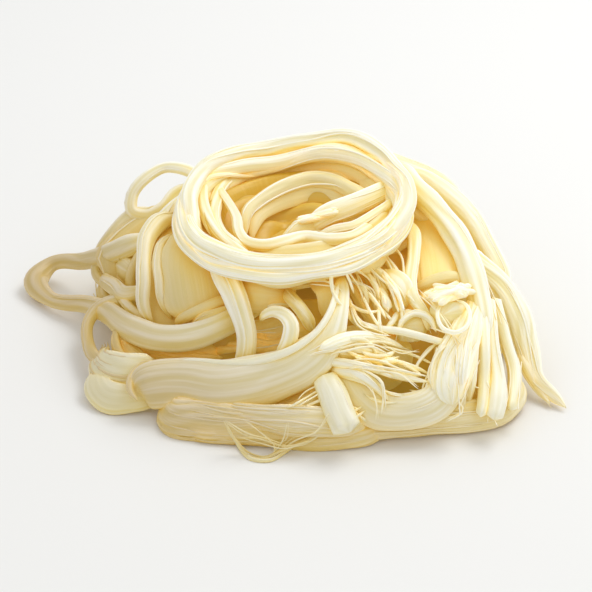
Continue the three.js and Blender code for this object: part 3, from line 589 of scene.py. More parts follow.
class Strands:
    """Gathers swept strands (mm) into one mesh with a UV map: run along the strand by distance round it."""

    def __init__(self, seed):
        self.random = np.random.default_rng(seed)
        self.verts, self.faces, self.corner_uvs, self.crests, self.ways = [], [], [], [], []
        self.count = 0
        self.loose = None

    def wander(self, run, wavelength, size):
        """A smooth random offset along a run."""
        knots = max(3, int(run[-1] / wavelength) + 2)
        values = self.random.normal(0, size, knots)
        place = run / max(run[-1], 1e-6) * (knots - 1)
        low = np.minimum(place.astype(int), knots - 2)
        blend = place - low
        blend = blend * blend * (3 - 2 * blend)
        return values[low] * (1 - blend) + values[low + 1] * blend

    def ridges(self, angles, run, lobes):
        """Rounded fibre bundles with narrow grooves, from about -1 to 1, which drift round the strand."""
        warp = angles + 0.3 * np.sin(angles + self.random.uniform(0, 6.3))
        warp = warp + 0.2 * np.sin(2 * angles + self.random.uniform(0, 6.3))
        drift = self.wander(run, 18, 0.3)[:, None]
        strength = np.clip(0.75 + self.wander(run, 11, 0.35), 0.1, 1.2)[:, None]
        return strength * (2 * (0.5 + 0.5 * np.cos(lobes * (warp[None, :] + drift))) ** 0.6 - 1.1)

    def add(self, points, flat, facing=TOWARDS_EYE, style=None, spacing=1.0, wobble=0.12, fray=FRAY,
            bury=0.0):
        """Sweeps one strand along points (x, y, z, wide), with thin threads on it.

        Flat is its thickness over its width, and its broad side looks towards facing. It wobbles, its
        threads run on past its ends by fray, and its ends dip into the heap by bury, all in mm.
        """
        rows, run = smooth_path(points, spacing)
        wide = rows[:, 3]
        plain = "ribbon" if wide.max() > 7 else "strand" if wide.max() > 2.4 else "thread"
        style = STYLES[style or plain]
        spare = max(2, int(fray / spacing))
        steps = np.arange(1, spare + 1)[:, None] * spacing
        before = rows[0, :3] + unit(rows[0, :3] - rows[2, :3]) * steps[::-1]
        after = rows[-1, :3] + unit(rows[-1, :3] - rows[-3, :3]) * steps
        centres = np.vstack([before, rows[:, :3], after])
        face = facing(centres) if callable(facing) else np.broadcast_to(facing, centres.shape)
        along, side, deep = frames_along(centres, face, TURN_OVER / spacing)
        length = np.arange(len(centres)) * spacing
        centres = centres + side * self.wander(length, SWAY_OVER, wobble)[:, None]
        centres = centres + deep * self.wander(length, SWAY_OVER, wobble)[:, None]
        to_end = np.minimum(length, length[-1] - length) - spare * spacing
        dip = bury * (1 - np.clip(to_end / DIP_OVER, 0, 1)) ** 2
        centres = centres - outwards(centres) * dip[:, None]
        near = np.clip(np.minimum(run, run[-1] - run) / min(style["tip"], run[-1] / 3), 0, 1)
        narrow = np.clip(1 - (1 - near) ** 2, 0.03, 1) ** 0.6
        half = wide / 2 * (1 + self.wander(run, SWELL_OVER, SWELL))
        half_all = np.pad(half * np.maximum(narrow, 0.5), spare, mode="edge")
        angles = np.linspace(0, 2 * math.pi, style["around"], endpoint=False) - math.pi / 2
        radius, crest = self.bundles(angles, run, style["lobes"])

        def at(turn, out, half, part=slice(None)):
            return (
                centres[part][:, None, :]
                + side[part][:, None, :] * (np.cos(turn) * out * half[:, None])[..., None]
                + deep[part][:, None, :] * (np.sin(turn) * out * half[:, None] * flat)[..., None]
            )

        body = slice(spare, spare + len(rows))
        ring = at(angles[None, :], radius, half * narrow, body)
        self.keep(ring, run, np.median(half) * 2 * math.pi, crest)
        for _ in range(int(style["threads"] * np.median(wide) + self.random.uniform())):
            start = self.random.uniform(0, 0.5)
            end = self.random.uniform(0.5, 1.0)
            turn = self.random.uniform(0, 2 * math.pi) + self.wander(length, 14, 0.2)
            path = at(turn[:, None], 0.96 + self.wander(length, 12, 0.03)[:, None], half_all)[:, 0]
            path = path[int(start * len(length)):int(end * len(length)):2]
            if len(path) > 6:
                self.thread(path, self.random.uniform(0.35, 0.7))

    def bundles(self, angles, run, all_lobes):
        """The radius round a strand with its fibre bundles, and its milkiness, with a painted highlight on
        its edges.
        """
        radius, crest = 1.0, 0.0
        for lobes, depth in all_lobes:
            ridge = self.ridges(angles, run, lobes)
            radius = radius + depth * ridge
            crest = crest + ridge * depth
        crest = MILK + RIDGE_MILK * crest / max(0.08, sum(depth for lobes, depth in all_lobes))
        return radius, crest + EDGE_MILK_AND_HIGHLIGHT * np.cos(angles)[None, :] ** 6

    def thread(self, path, wide):
        """Sweeps a thin round thread along rows that are already close together."""
        run = np.concatenate([[0], np.cumsum(np.linalg.norm(np.diff(path, axis=0), axis=1))])
        along, side, deep = frames_along(path, np.broadcast_to(TOWARDS_EYE, path.shape), 5)
        half = wide / 2 * np.clip(np.minimum(run, run[-1] - run) / THREAD_TAPER, 0.08, 1) ** 0.7
        angles = np.linspace(0, 2 * math.pi, THREAD_SIDES, endpoint=False)
        ring = (
            path[:, None, :] + side[:, None, :] * (np.cos(angles)[None, :] * half[:, None])[..., None]
            + deep[:, None, :] * (np.sin(angles)[None, :] * half[:, None])[..., None]
        )
        self.loose = self.loose or Strands(int(self.random.integers(1000)))
        self.loose.keep(ring, run, wide * math.pi, np.full(ring.shape[:2], THREAD_MILK))

    def keep(self, ring, run, girth, crest):
        """Stores a tube of rings with its two end faces."""
        rows, around = ring.shape[:2]
        ring[..., 2] = np.maximum(ring[..., 2], TABLE_GAP)
        i, j = np.meshgrid(np.arange(rows - 1), np.arange(around), indexing="ij")
        nxt = (j + 1) % around
        base = self.count
        here, ahead = i * around, (i + 1) * around
        quads = np.stack([here + j, ahead + j, ahead + nxt, here + nxt], -1)
        u = np.stack([run[i], run[i + 1], run[i + 1], run[i]], -1)
        v = np.stack([j, j, j + 1, j + 1], -1) * girth / around
        self.verts.append(ring.reshape(-1, 3))
        self.faces.extend((quads.reshape(-1, 4) + base).tolist())
        shift = self.random.uniform(0, 500, 2)
        self.corner_uvs.append(np.stack([u + shift[0], v + shift[1]], -1).reshape(-1, 2))
        start = (base + np.arange(around)).tolist()
        end = (base + (rows - 1) * around + np.arange(around)[::-1]).tolist()
        for cap, place in ((start, run[0]), (end, run[-1])):
            self.faces.append(cap)
            self.corner_uvs.append(np.tile([place + shift[0], shift[1]], (around, 1)))
        self.crests.append(np.broadcast_to(crest, (rows, around)).ravel())
        self.ways.append(np.repeat(unit(np.gradient(ring.mean(1), axis=0)), around, axis=0))
        self.count += rows * around

    def build(self, name, material):
        """Makes the mesh object, in the part's frame and in metres."""
        mesh = bpy.data.meshes.new(name)
        verts = (np.vstack(self.verts) - HEAP_MIDDLE) * MM
        mesh.from_pydata(verts.tolist(), [], self.faces)
        uv = mesh.uv_layers.new(name="run")
        uv.data.foreach_set("uv", np.vstack(self.corner_uvs).astype(np.float32).ravel())
        crest = mesh.attributes.new("crest", "FLOAT", "POINT")
        crest.data.foreach_set("value", np.concatenate(self.crests).astype(np.float32))
        way = mesh.attributes.new("way", "FLOAT_VECTOR", "POINT")
        way.data.foreach_set("vector", np.vstack(self.ways).astype(np.float32).ravel())
        mesh.polygons.foreach_set("use_smooth", np.ones(len(mesh.polygons), bool))
        mesh.materials.append(material)
        obj = bpy.data.objects.new(name, mesh)
        bpy.context.scene.collection.objects.link(obj)
        return obj


class Bed:
    """The surface that the strands lie on, as their distance from the heart in every direction."""

    def __init__(self, points, reach):
        """Reach is how many degrees round a direction the strands are averaged over."""
        self.reach = math.radians(reach)
        arms = points - HEART
        self.far = np.linalg.norm(arms, axis=1)
        self.ways = arms / self.far[:, None]

    def distance(self, ways):
        """How far (mm) the bed is from the heart in each direction."""
        apart = np.arccos(np.clip(ways @ self.ways.T, -1, 1)) / self.reach
        weight = np.exp(-apart * apart) + 1e-12
        return (weight * self.far).sum(1) / weight.sum(1)

    def point(self, ways, below):
        """The point that lies below (mm) the bed in each direction."""
        return HEART + ways * (self.distance(ways) - below)[:, None]


def outwards(points):
    """The way from the heart of the heap to each point."""
    return unit(points - HEART)


def chance(index, stream):
    """A number from 0 to 1 that looks random and is the same each time."""
    value = math.sin(index * 12.9898 + stream * 78.233) * 43758.5453
    return value - math.floor(value)


def height_seen(bed, across, up, above):
    """The height at which the eye's ray through (across, up) comes within above (mm) of the bed."""
    heights = np.linspace(COIL_TOP, 0.6, 90)
    rays = np.array([[a, u, h, 0] for a, u in zip(across, up) for h in heights])
    arms = seen(rays)[:, :3] - HEART
    far = np.linalg.norm(arms, axis=1)
    inside = (far < bed.distance(arms / far[:, None]) + above).reshape(-1, len(heights))
    return heights[np.where(inside.any(1), inside.argmax(1), len(heights) - 1)]


def back_strand(index):
    """One strand draped over the back or a flank, which bulges up or sags, and stays outside the coil."""
    bearing = math.radians(BACK_BEARING[0] + BACK_BEARING[1] * (index + chance(index, 1)) / BACK_STRANDS)
    sweep = math.radians(BACK_SWEEP[0] + BACK_SWEEP[1] * chance(index, 2)) * (1 if index % 2 else -1)
    slope = math.radians(BACK_SLOPE[0] + BACK_SLOPE[1] * ((index * GOLDEN_SECTION) % 1))
    bulge = math.radians(BACK_BULGE[0] + BACK_BULGE[1] * chance(index, 4)) * (1 if index % 3 else -0.5)
    points = []
    for share in np.linspace(0, 1, 5):
        lift = math.sin(math.pi * share)
        half = MOUND_HALF - 2 + 3 * lift * chance(index, 5)
        turn = bearing + sweep * (share - 0.5)
        climb = max(slope + bulge * (lift - 0.5), 0.06)
        points.append([
            half[0] * math.cos(turn) * math.cos(climb),
            HEART[1] + half[1] * math.sin(turn) * math.cos(climb),
            half[2] * math.sin(climb),
            3 + 3.5 * chance(index, 6),
        ])
    points = np.array(points)
    arm = points[:, :2] - COIL_MIDDLE
    far = np.linalg.norm(arm, axis=1, keepdims=True)
    inside = far[:, 0] < COIL_REACH
    points[inside, :2] = (COIL_MIDDLE + arm * COIL_REACH / far)[inside]
    points[inside, 2] = np.minimum(points[inside, 2], COIL_FOOT)
    return points


def coil_turn(x, y, rx, ry, z, rise, start, end, wide, tuck=1.0):
    """One turn of the coil: it bulges at the back left, sags at the back, and tucks its ends under."""
    angles = np.radians(np.linspace(start, end, math.ceil((end - start) / 20) + 1))
    off_bulge = np.mod(angles - math.radians(145) + math.pi, 2 * math.pi) - math.pi
    bulge = 1 + 0.05 * np.exp(-((off_bulge / 0.5) ** 2))
    sag = 1.5 * np.maximum(np.sin(angles), 0) * np.cos(4 * (angles - math.radians(60)))
    tuck = tuck * np.clip(1 - np.minimum(angles - angles[0], angles[-1] - angles) / 1.0, 0, 1) ** 2
    return np.stack([
        x + rx * (bulge + 0.02 * tuck) * np.cos(angles),
        y + ry * (bulge + 0.02 * tuck) * np.sin(angles),
        z + rise * np.cos(angles) + sag - 4 * tuck,
        np.full(len(angles), wide),
    ], 1)


def under_bowl(points):
    """Presses points down below the bowl inside the coil."""
    share = np.hypot(points[:, 0] - COIL_MIDDLE[0], points[:, 1] - COIL_MIDDLE[1]) / BOWL_REACH
    pressed = np.minimum(points[:, 2], BOWL_FLOOR + BOWL_RISE * share**3)
    points[:, 2] = np.where(share < 1, pressed, points[:, 2])
    return points


def make_bed(reach):
    """The bed under the strands that lie on the mound."""
    laid = [seen(stops) for group in (RIBBONS, FOLDS, LOOPS, FRONT, RIGHT, FAN, SHREDS, NEST, DEEP_NEST)
            for name, (flat, stops) in group.items() if name not in LOOSE]
    laid += [coil_turn(*turn) for turn in COIL]
    laid += [back_strand(i) for i in range(BACK_STRANDS)]
    return Bed(np.vstack(laid)[:, :3], reach)


# ---------------------------------------------------------------------------------------------- finishes


def linear(hex_code):
    """Linear RGBA of an sRGB hex colour."""
    parts = [int(hex_code[i:i + 2], 16) / 255 for i in (0, 2, 4)]
    return (*(p / 12.92 if p <= 0.04045 else ((p + 0.055) / 1.055) ** 2.4 for p in parts), 1.0)


def add_node(tree, kind, inputs=None, **settings):
    """Adds a node; an input is a value or the socket that feeds it."""
    node = tree.nodes.new(kind)
    for name, value in settings.items():
        setattr(node, name, value)
    for name, value in (inputs or {}).items():
        if isinstance(value, bpy.types.NodeSocket):
            tree.links.new(value, node.inputs[name])
        else:
            node.inputs[name].default_value = value
    return node


# How the curd's patterns repeat for each mm along a strand and round it. Fibres of pulled curd are about
# 0.05 mm thick, too fine to show, so they are drawn 0.5 mm wide and 20 mm long. Streaks of fat between
# bundles of them are 1 mm wide and 33 mm long.
FIBRES_A_MM = (0.05, 1.9, 1.0)
STREAKS_A_MM = (0.03, 1.0, 1.0)

FULL_LOW_SHADE_AT, NO_LOW_SHADE_AT = -11, 35  # heights (mm) between which the painted shade low in the heap fades from full to none
LOW_SHADE_LEAN = 0.25  # how much of the way to the right counts as height


def curd(name, milky, body, shelter, glow, low_shade):
    """Stretched fresh cheese, on a UV map that runs in mm along a strand and round it.

    Milky is the colour of its ridges and edges, and body its colours from deep in a gap to the open, which
    paint shade into the gaps. Shelter is how far (mm) round a point the heap closes it in for that painted
    shade, and the last colour is painted shade that darkens and warms what lies low down and to the left.
    """
    look = bpy.context.scene.cheese_finish
    material = bpy.data.materials.new(name)
    material.use_nodes = True
    tree = material.node_tree
    surface = tree.nodes["Principled BSDF"]
    place = add_node(tree, "ShaderNodeUVMap", uv_map="run").outputs["UV"]
    grains = []
    for repeats, detail in ((FIBRES_A_MM, 2.0), (STREAKS_A_MM, 3.0)):
        laid = add_node(tree, "ShaderNodeMapping", {"Vector": place, "Scale": repeats}).outputs[0]
        noise = add_node(tree, "ShaderNodeTexNoise", {"Vector": laid, "Scale": 1.0, "Detail": detail})
        grains.append(noise.outputs["Fac"])
    fibres, streaks = grains
    crest = add_node(tree, "ShaderNodeAttribute", attribute_name="crest").outputs["Fac"]
    # Painted shade: the more the heap closes a point in, within shelter, the darker and more golden its
    # colour.
    sky = add_node(tree, "ShaderNodeAmbientOcclusion", {"Distance": shelter * MM}, samples=6)
    open_sky = sky.outputs["AO"]
    depth = add_node(tree, "ShaderNodeValToRGB", {"Fac": open_sky})
    stops = depth.color_ramp.elements
    for (at, shade), stop in zip(body, [stops[0], *(stops.new(at) for at, shade in body[1:-1]), stops[-1]]):
        stop.position = at
        stop.color = linear(shade)
    # Painted shade by height: 0 low down and on the left, where the curd is painted darker and warmer,
    # rising to 1 high up and to the right.
    middle = add_node(tree, "ShaderNodeTexCoord").outputs["Object"]
    spot = add_node(tree, "ShaderNodeSeparateXYZ", {0: middle})
    lift = add_node(tree, "ShaderNodeMath", {0: spot.outputs["X"], 1: LOW_SHADE_LEAN, 2: spot.outputs["Z"]},
                    operation="MULTIPLY_ADD").outputs[0]
    height_lit = add_node(tree, "ShaderNodeMapRange", {
        "Value": lift, "From Min": FULL_LOW_SHADE_AT * MM, "From Max": NO_LOW_SHADE_AT * MM},
                   interpolation_type="SMOOTHSTEP").outputs["Result"]
    # Where it is milky: on ridges and edges, where the edges carry a painted highlight, along streaks, and a
    # little more high up and to the right as painted light. It never shows in shelter, where painted shade
    # hides it.
    grain = add_node(tree, "ShaderNodeMath", {0: streaks, 1: 0.5}, operation="SUBTRACT").outputs[0]
    grain = add_node(tree, "ShaderNodeMath", {0: height_lit, 1: 0.06, 2: grain},
                     operation="MULTIPLY_ADD").outputs[0]
    milk = add_node(tree, "ShaderNodeMath", {0: crest, 1: grain}, operation="ADD").outputs[0]
    milk = add_node(tree, "ShaderNodeMapRange", {"Value": milk, "From Min": 0.2, "From Max": 0.95},
                    interpolation_type="SMOOTHSTEP").outputs["Result"]
    lit_milk = add_node(tree, "ShaderNodeMath", {0: milk, 1: open_sky}, operation="MULTIPLY",
                        use_clamp=True).outputs[0]
    colour = add_node(tree, "ShaderNodeMix", {0: lit_milk, 6: depth.outputs["Color"], 7: (*milky, 1.0)},
                      data_type="RGBA").outputs[2]
    # Painted shade low in the heap: the low colour multiplies the curd's colour, fading out higher up and to
    # the right.
    low_shade_tint = add_node(tree, "ShaderNodeMix", {0: height_lit, 6: (*low_shade, 1.0), 7: linear("FFFFFF")},
                   data_type="RGBA").outputs[2]
    low_shaded = add_node(tree, "ShaderNodeMix", {0: 1.0, 6: colour, 7: low_shade_tint}, data_type="RGBA",
                       blend_type="MULTIPLY").outputs[2]
    tree.links.new(low_shaded, surface.inputs["Base Color"])
    # Light that soaks through the strands above comes out golden in the gaps between them. It stands for
    # scattering that is too deep to follow. It fades in the open, and dims in the deepest gaps.
    shaded = add_node(tree, "ShaderNodeMath", {0: 1.0, 1: open_sky}, operation="SUBTRACT").outputs[0]
    reached = add_node(tree, "ShaderNodeMath", {0: open_sky, 1: 0.22}, operation="ADD").outputs[0]
    hidden = add_node(tree, "ShaderNodeMath", {0: shaded, 1: reached}, operation="MULTIPLY").outputs[0]
    soaked = add_node(tree, "ShaderNodeMix", {0: hidden, 6: linear("000000"), 7: (*look.soaked, 1.0)},
                      data_type="RGBA").outputs[2]
    tree.links.new(soaked, surface.inputs["Emission Color"])
    surface.inputs["Emission Strength"].default_value = look.soak
    surface.inputs["Roughness"].default_value = 0.38
    surface.subsurface_method = "BURLEY"
    surface.inputs["Subsurface Weight"].default_value = glow
    surface.inputs["Subsurface Radius"].default_value = (1.0, 0.9, 0.7)
    surface.inputs["Subsurface Scale"].default_value = 1.6 * MM
    surface.inputs["IOR"].default_value = 1.42
    bump = add_node(tree, "ShaderNodeBump", {"Height": fibres, "Strength": 0.35, "Distance": 0.25 * MM})
    tree.links.new(bump.outputs[0], surface.inputs["Normal"])
    return material


def finish(name):
    """The named finish, made once."""
    look = bpy.context.scene.cheese_finish
    made = {
        # String cheese pulled into strands while warm: satin ivory with drawn-out lines of milk along it,
        # and amber painted shade in the folds, for the light that has gone through more of it.
        "strand": ("pulled_curd", look.milky, 12.0, look.glow, look.low_shade),
        # A fibre that came away from a strand's side: the same curd, too thin to glow.
        "thread": ("loose_fibre", look.milky, 8.0, 0.0, look.low_shade),
        # Broad strands that were stretched thin, so fewer milky lines and a clearer body, with a more golden
        # painted shade for strands that lie behind or under others.
        "clear": ("stretched_curd", look.clear, 12.0, look.glow, look.low_shade),
        # Torn ends and shreds: dry, matt white fibres that scatter the light at once.
        "torn": ("torn_curd", look.torn, 9.0, look.glow, look.torn_low_shade),
        # Hair-thin wisps: cream, with painted shade only from what is right beside them.
        "wisp": ("teased_curd", look.wisp, 4.0, 0.0, look.wisp_low_shade),
        # Curd packed in the middle of the heap: seen only down the gaps, and painted a deep, even gold as
        # shade.
        "packed": ("packed_curd", look.packed, 14.0, look.glow, look.low_shade),
        # The sheet at the right that light comes through: a bright, smooth gold that is painted light.
        "golden": ("golden_curd", look.golden, 14.0, look.glow, look.golden_low_shade),
    }
    material, milky, shelter, glow, low_shade = made[name]
    body = BODY_AND_SHADE_COLOURS[name]
    return bpy.data.materials.get(material) or curd(material, milky, body, shelter, glow, low_shade)


def place_piece(obj):
    """Attaches the piece to the body it rides on, and hides the part that it stands for."""
    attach(obj, BODY)
    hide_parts(NODE)


def place_strands(strands, name, finish_name="strand"):
    """Makes the swept strands into a piece, and the threads that lie on them into another."""
    place_piece(strands.build(name, finish(finish_name)))
    if strands.loose:
        place_piece(strands.loose.build(name + "_threads", finish("thread")))


def style_of(strand):
    """The style of a strand that needs its own, or None."""
    return next((style for style, members in STYLED.items() if strand in members), None)


def lay_group(name, group, seed, style=None, finish_name="strand", fray=FRAY):
    """Sweeps a group of listed strands into one piece."""
    strands = Strands(seed)
    for strand, (flat, stops) in group.items():
        bury = 0.0 if strand in FREE else BURY
        strands.add(seen(stops), flat, style=style_of(strand) or style, fray=fray, bury=bury)
    place_strands(strands, name, finish_name)


# Inputs of the fibre nodes, with their kinds of socket.
FIBRE_INPUTS = {"Strands": "Geometry", "Density": "Float", "Length": "Float", "Thickness": "Float",
                "Seed": "Int", "Finish": "Material"}


def fibre_tree():
    """Nodes that lay short bent fibres on a strand's surface, along the way it runs."""
    tree = bpy.data.node_groups.new("cling_fibres", "GeometryNodeTree")
    for name, kind in FIBRE_INPUTS.items():
        tree.interface.new_socket(name, in_out="INPUT", socket_type="NodeSocket" + kind)
    tree.interface.new_socket("Fibres", in_out="OUTPUT", socket_type="NodeSocketGeometry")
    given = add_node(tree, "NodeGroupInput").outputs
    spots = add_node(tree, "GeometryNodeDistributePointsOnFaces", {
        "Mesh": given["Strands"], "Density": given["Density"], "Seed": given["Seed"]}).outputs
    way = add_node(tree, "GeometryNodeInputNamedAttribute", {"Name": "way"},
                   data_type="FLOAT_VECTOR").outputs["Attribute"]
    stand = add_node(tree, "FunctionNodeAlignRotationToVector", {"Vector": spots["Normal"]},
                     axis="Z").outputs[0]
    lie = add_node(tree, "FunctionNodeAlignRotationToVector", {"Rotation": stand, "Vector": way}, axis="X",
                   pivot_axis="Z").outputs[0]
    # A fibre strays from the way of its strand by up to 0.22 radians, and lifts by less.
    stray = add_node(tree, "FunctionNodeRandomValue", {
        "Min": (-0.05, -0.05, -0.22), "Max": (0.05, 0.05, 0.22), "Seed": given["Seed"]},
                     data_type="FLOAT_VECTOR").outputs[0]
    turned = add_node(tree, "FunctionNodeRotateRotation", {"Rotation": lie, "Rotate By": stray},
                      rotation_space="LOCAL").outputs[0]
    # Its spine is a shallow arc: its ends dip into the strand, and one of them curls aside.
    half, back, lift, dip = (
        add_node(tree, "ShaderNodeMath", {0: given["Length"], 1: share}, operation="MULTIPLY").outputs[0]
        for share in (0.5, -0.5, 0.03, -0.04))
    spine = add_node(tree, "GeometryNodeCurveQuadraticBezier", {
        "Resolution": 9,
        "Start": add_node(tree, "ShaderNodeCombineXYZ", {"X": back, "Z": dip}).outputs[0],
        "Middle": add_node(tree, "ShaderNodeCombineXYZ", {"Y": dip, "Z": lift}).outputs[0],
        "End": add_node(tree, "ShaderNodeCombineXYZ", {"X": half, "Y": lift}).outputs[0]}).outputs[0]
    # It is thickest in the middle, and a fifth as thick at its ends.
    run = add_node(tree, "GeometryNodeSplineParameter").outputs["Factor"]
    swell = add_node(tree, "ShaderNodeMath", {0: run, 1: math.pi}, operation="MULTIPLY").outputs[0]
    swell = add_node(tree, "ShaderNodeMath", {0: swell}, operation="SINE").outputs[0]
    swell = add_node(tree, "ShaderNodeMath", {0: swell, 1: 0.8, 2: 0.2},
                     operation="MULTIPLY_ADD").outputs[0]
    spine = add_node(tree, "GeometryNodeSetCurveRadius", {"Curve": spine, "Radius": swell}).outputs[0]
    waist = add_node(tree, "ShaderNodeMath", {0: given["Thickness"], 1: 0.5},
                     operation="MULTIPLY").outputs[0]
    section = add_node(tree, "GeometryNodeCurvePrimitiveCircle", {"Resolution": 5, "Radius": waist})
    fibre = add_node(tree, "GeometryNodeCurveToMesh", {
        "Curve": spine, "Profile Curve": section.outputs["Curve"], "Fill Caps": True}).outputs[0]
    milky = add_node(tree, "GeometryNodeStoreNamedAttribute", {
        "Geometry": fibre, "Name": "crest", "Value": 0.8}, data_type="FLOAT", domain="POINT").outputs[0]
    scale = add_node(tree, "FunctionNodeRandomValue", {
        "Min": (0.4, 0.8, 0.6), "Max": (1.5, 1.2, 1.3), "Seed": given["Seed"]},
                     data_type="FLOAT_VECTOR").outputs[0]
    laid = add_node(tree, "GeometryNodeInstanceOnPoints", {
        "Points": spots["Points"], "Instance": milky, "Rotation": turned, "Scale": scale}).outputs[0]
    real = add_node(tree, "GeometryNodeRealizeInstances", {"Geometry": laid}).outputs[0]
    done = add_node(tree, "GeometryNodeSetMaterial", {"Geometry": real, "Material": given["Finish"]})
    add_node(tree, "NodeGroupOutput", {"Fibres": done.outputs[0]})
    return tree


# ---------------------------------------------------------------------------------------------- settings


def colour_setting(name, description, shade):
    """A colour that the panel shows, from its sRGB hex."""
    return bpy.props.FloatVectorProperty(name=name, description=description, default=linear(shade)[:3],
                                         min=0, max=1, size=3, subtype="COLOR")


class CheeseFinish(bpy.types.PropertyGroup):
    """How the cheese looks."""

    milky: colour_setting("Milky", "Ridges and edges of a strand", "FFFEF2")
    clear: colour_setting("Clear", "Milky lines on broad, stretched strands", "F0E3B6")
    torn: colour_setting("Torn", "Torn ends and shreds", "FCFBEE")
    wisp: colour_setting("Wisp", "Hair-thin wisps", "FFFDF0")
    packed: colour_setting("Packed", "Milky lines on the packed middle", "DABA60")
    golden: colour_setting("Golden", "Milky lines on the golden panel", "FDEBB0")
    # The next four colours are painted shade that darkens and warms the curd low in the heap and on the
    # left.
    low_shade: colour_setting("Moist", "Stain on strands low in the heap", "CDBA9C")
    torn_low_shade: colour_setting("Moist torn", "Stain on torn curd low in the heap", "E0D8C4")
    wisp_low_shade: colour_setting("Moist wisp", "Stain on wisps low in the heap", "D6C9A4")
    golden_low_shade: colour_setting("Moist golden", "Stain low on the golden panel", "EAD8A8")
    soaked: colour_setting("Soaked light", "Light that comes through the strands into the gaps", "E8D050")
    soak: bpy.props.FloatProperty(
        name="Soak", description="How much light comes through into the gaps", default=0.38, min=0, max=2)
    glow: bpy.props.FloatProperty(
        name="Glow", description="How much light passes under the surface", default=0.5, min=0, max=1,
        subtype="FACTOR")


class CheeseHeap(bpy.types.PropertyGroup):
    """How the heap is filled."""

    core_depth: bpy.props.FloatProperty(
        name="Core depth", description="From the strands down to the core", default=10.5 * MM,
        min=1 * MM, max=20 * MM, subtype="DISTANCE")
    filling: bpy.props.IntProperty(
        name="Filling strands", description="Strands that lie under the shown ones", default=70, min=0,
        max=200)
    riders: bpy.props.IntProperty(
        name="Riders", description="Strands that lie on each sheet", default=9, min=0, max=20)
    fibre_density: bpy.props.FloatProperty(
        name="Fibre density", description="Loose fibres on each cm2 of strand", default=1.2, min=0, max=40)
    fibre_length: bpy.props.FloatProperty(
        name="Fibre length", description="Length of a loose fibre", default=11.0 * MM,
        min=1 * MM, max=20 * MM, subtype="DISTANCE")
    fibre_thickness: bpy.props.FloatProperty(
        name="Fibre thickness", description="Thickness of a loose fibre", default=0.32 * MM,
        min=0.1 * MM, max=1 * MM, subtype="DISTANCE")


class CheeseStage(bpy.types.PropertyGroup):
    """The floor and the light."""

    paper: colour_setting("Paper", "Colour of the floor", "EAEAE8")
    room: bpy.props.FloatProperty(
        name="Room light", description="Light from all round", default=0.8, min=0, max=4)
    key: bpy.props.FloatProperty(
        name="Key light", description="Large lamp at the back right", default=1.48, min=0, unit="POWER")
    fill: bpy.props.FloatProperty(
        name="Fill light", description="Large lamp at the front left", default=0.1, min=0, unit="POWER")


# ---------------------------------------------------------------------------------------------- operators


class CHEESE_OT_core(bpy.types.Operator):
    """Lumpy core deep under the strands"""

    bl_idname = "cheese.core"
    bl_label = "Core"

    def execute(self, context):
        bed = make_bed(reach=9)
        mesh = bpy.data.meshes.new("core")
        shape = bmesh.new()
        bmesh.ops.create_icosphere(shape, subdivisions=6, radius=1.0)
        ways = unit(np.array([v.co for v in shape.verts]))
        # Lumps about as wide as a strand, and a raised top. It lies deeper behind the open front.
        lumps = 0.9 * np.sin(9 * ways[:, 0] + 2) * np.sin(11 * ways[:, 1])
        lumps += 0.8 * np.cos(13 * ways[:, 2] + 7 * ways[:, 0]) + 2.5 * np.clip(ways[:, 2] * 4 - 3, 0, 1)
        deeper = 4 * np.clip(-2 * ways[:, 1], 0, 1)
        below = context.scene.cheese_heap.core_depth / MM + deeper
        points = under_bowl(bed.point(ways, below) + ways * lumps[:, None])
        points[:, 2] = np.maximum(points[:, 2], TABLE_GAP)
        for vert, point in zip(shape.verts, (points - HEAP_MIDDLE) * MM):
            vert.co = point
        shape.to_mesh(mesh)
        shape.free()
        uv = mesh.uv_layers.new(name="run")
        corners = np.zeros(len(mesh.loops), np.int32)
        mesh.loops.foreach_get("vertex_index", corners)
        uv.data.foreach_set("uv", points[corners][:, [0, 2]].astype(np.float32).ravel())
        mesh.polygons.foreach_set("use_smooth", np.ones(len(mesh.polygons), bool))
        # The packed finish's deep gold is painted shade.
        mesh.materials.append(finish("packed"))
        core = bpy.data.objects.new("core", mesh)
        context.scene.collection.objects.link(core)
        place_piece(core)
        return {"FINISHED"}


def filling_bundle(strands, bed, turn, climb):
    """Two strands side by side under the bed, round the direction that turn and climb give."""
    way = np.array([math.cos(turn) * math.cos(climb), math.sin(turn) * math.cos(climb), math.sin(climb)])
    level = unit(np.cross([0.0, 0.0, 1.0], way))
    downhill = np.cross(level, way)
    lean = 0.9 * math.sin(2 * turn + 1) + 0.7 * math.sin(5 * turn + 4 * climb)
    heading = downhill * math.cos(lean) + level * math.sin(lean)
    sideways = np.cross(way, heading)
    span = strands.random.uniform(0.35, 0.6)
    bend = strands.random.uniform(-0.2, 0.2)
    below = strands.random.uniform(4.0, 6.5)
    shares = np.linspace(-1, 1, 7)[:, None]
    for member in range(2):
        apart = (member - 0.5) * strands.random.uniform(0.08, 0.14)
        wave = apart + bend * (shares**2 - 0.3) + strands.random.normal(0, 0.008, shares.shape)
        ways = unit(way + heading * span * shares + sideways * wave)
        sunk = below + strands.random.uniform(-0.5, 0.9) + 4 * shares[:, 0] ** 4
        points = under_bowl(bed.point(ways, sunk))
        points[:, 2] = np.maximum(points[:, 2], 1.2)
        wide = np.full((len(points), 1), strands.random.uniform(3.5, 7.0))
        strands.add(np.hstack([points, wide]), 0.5, facing=outwards, style="under", spacing=1.6, wobble=0.2)


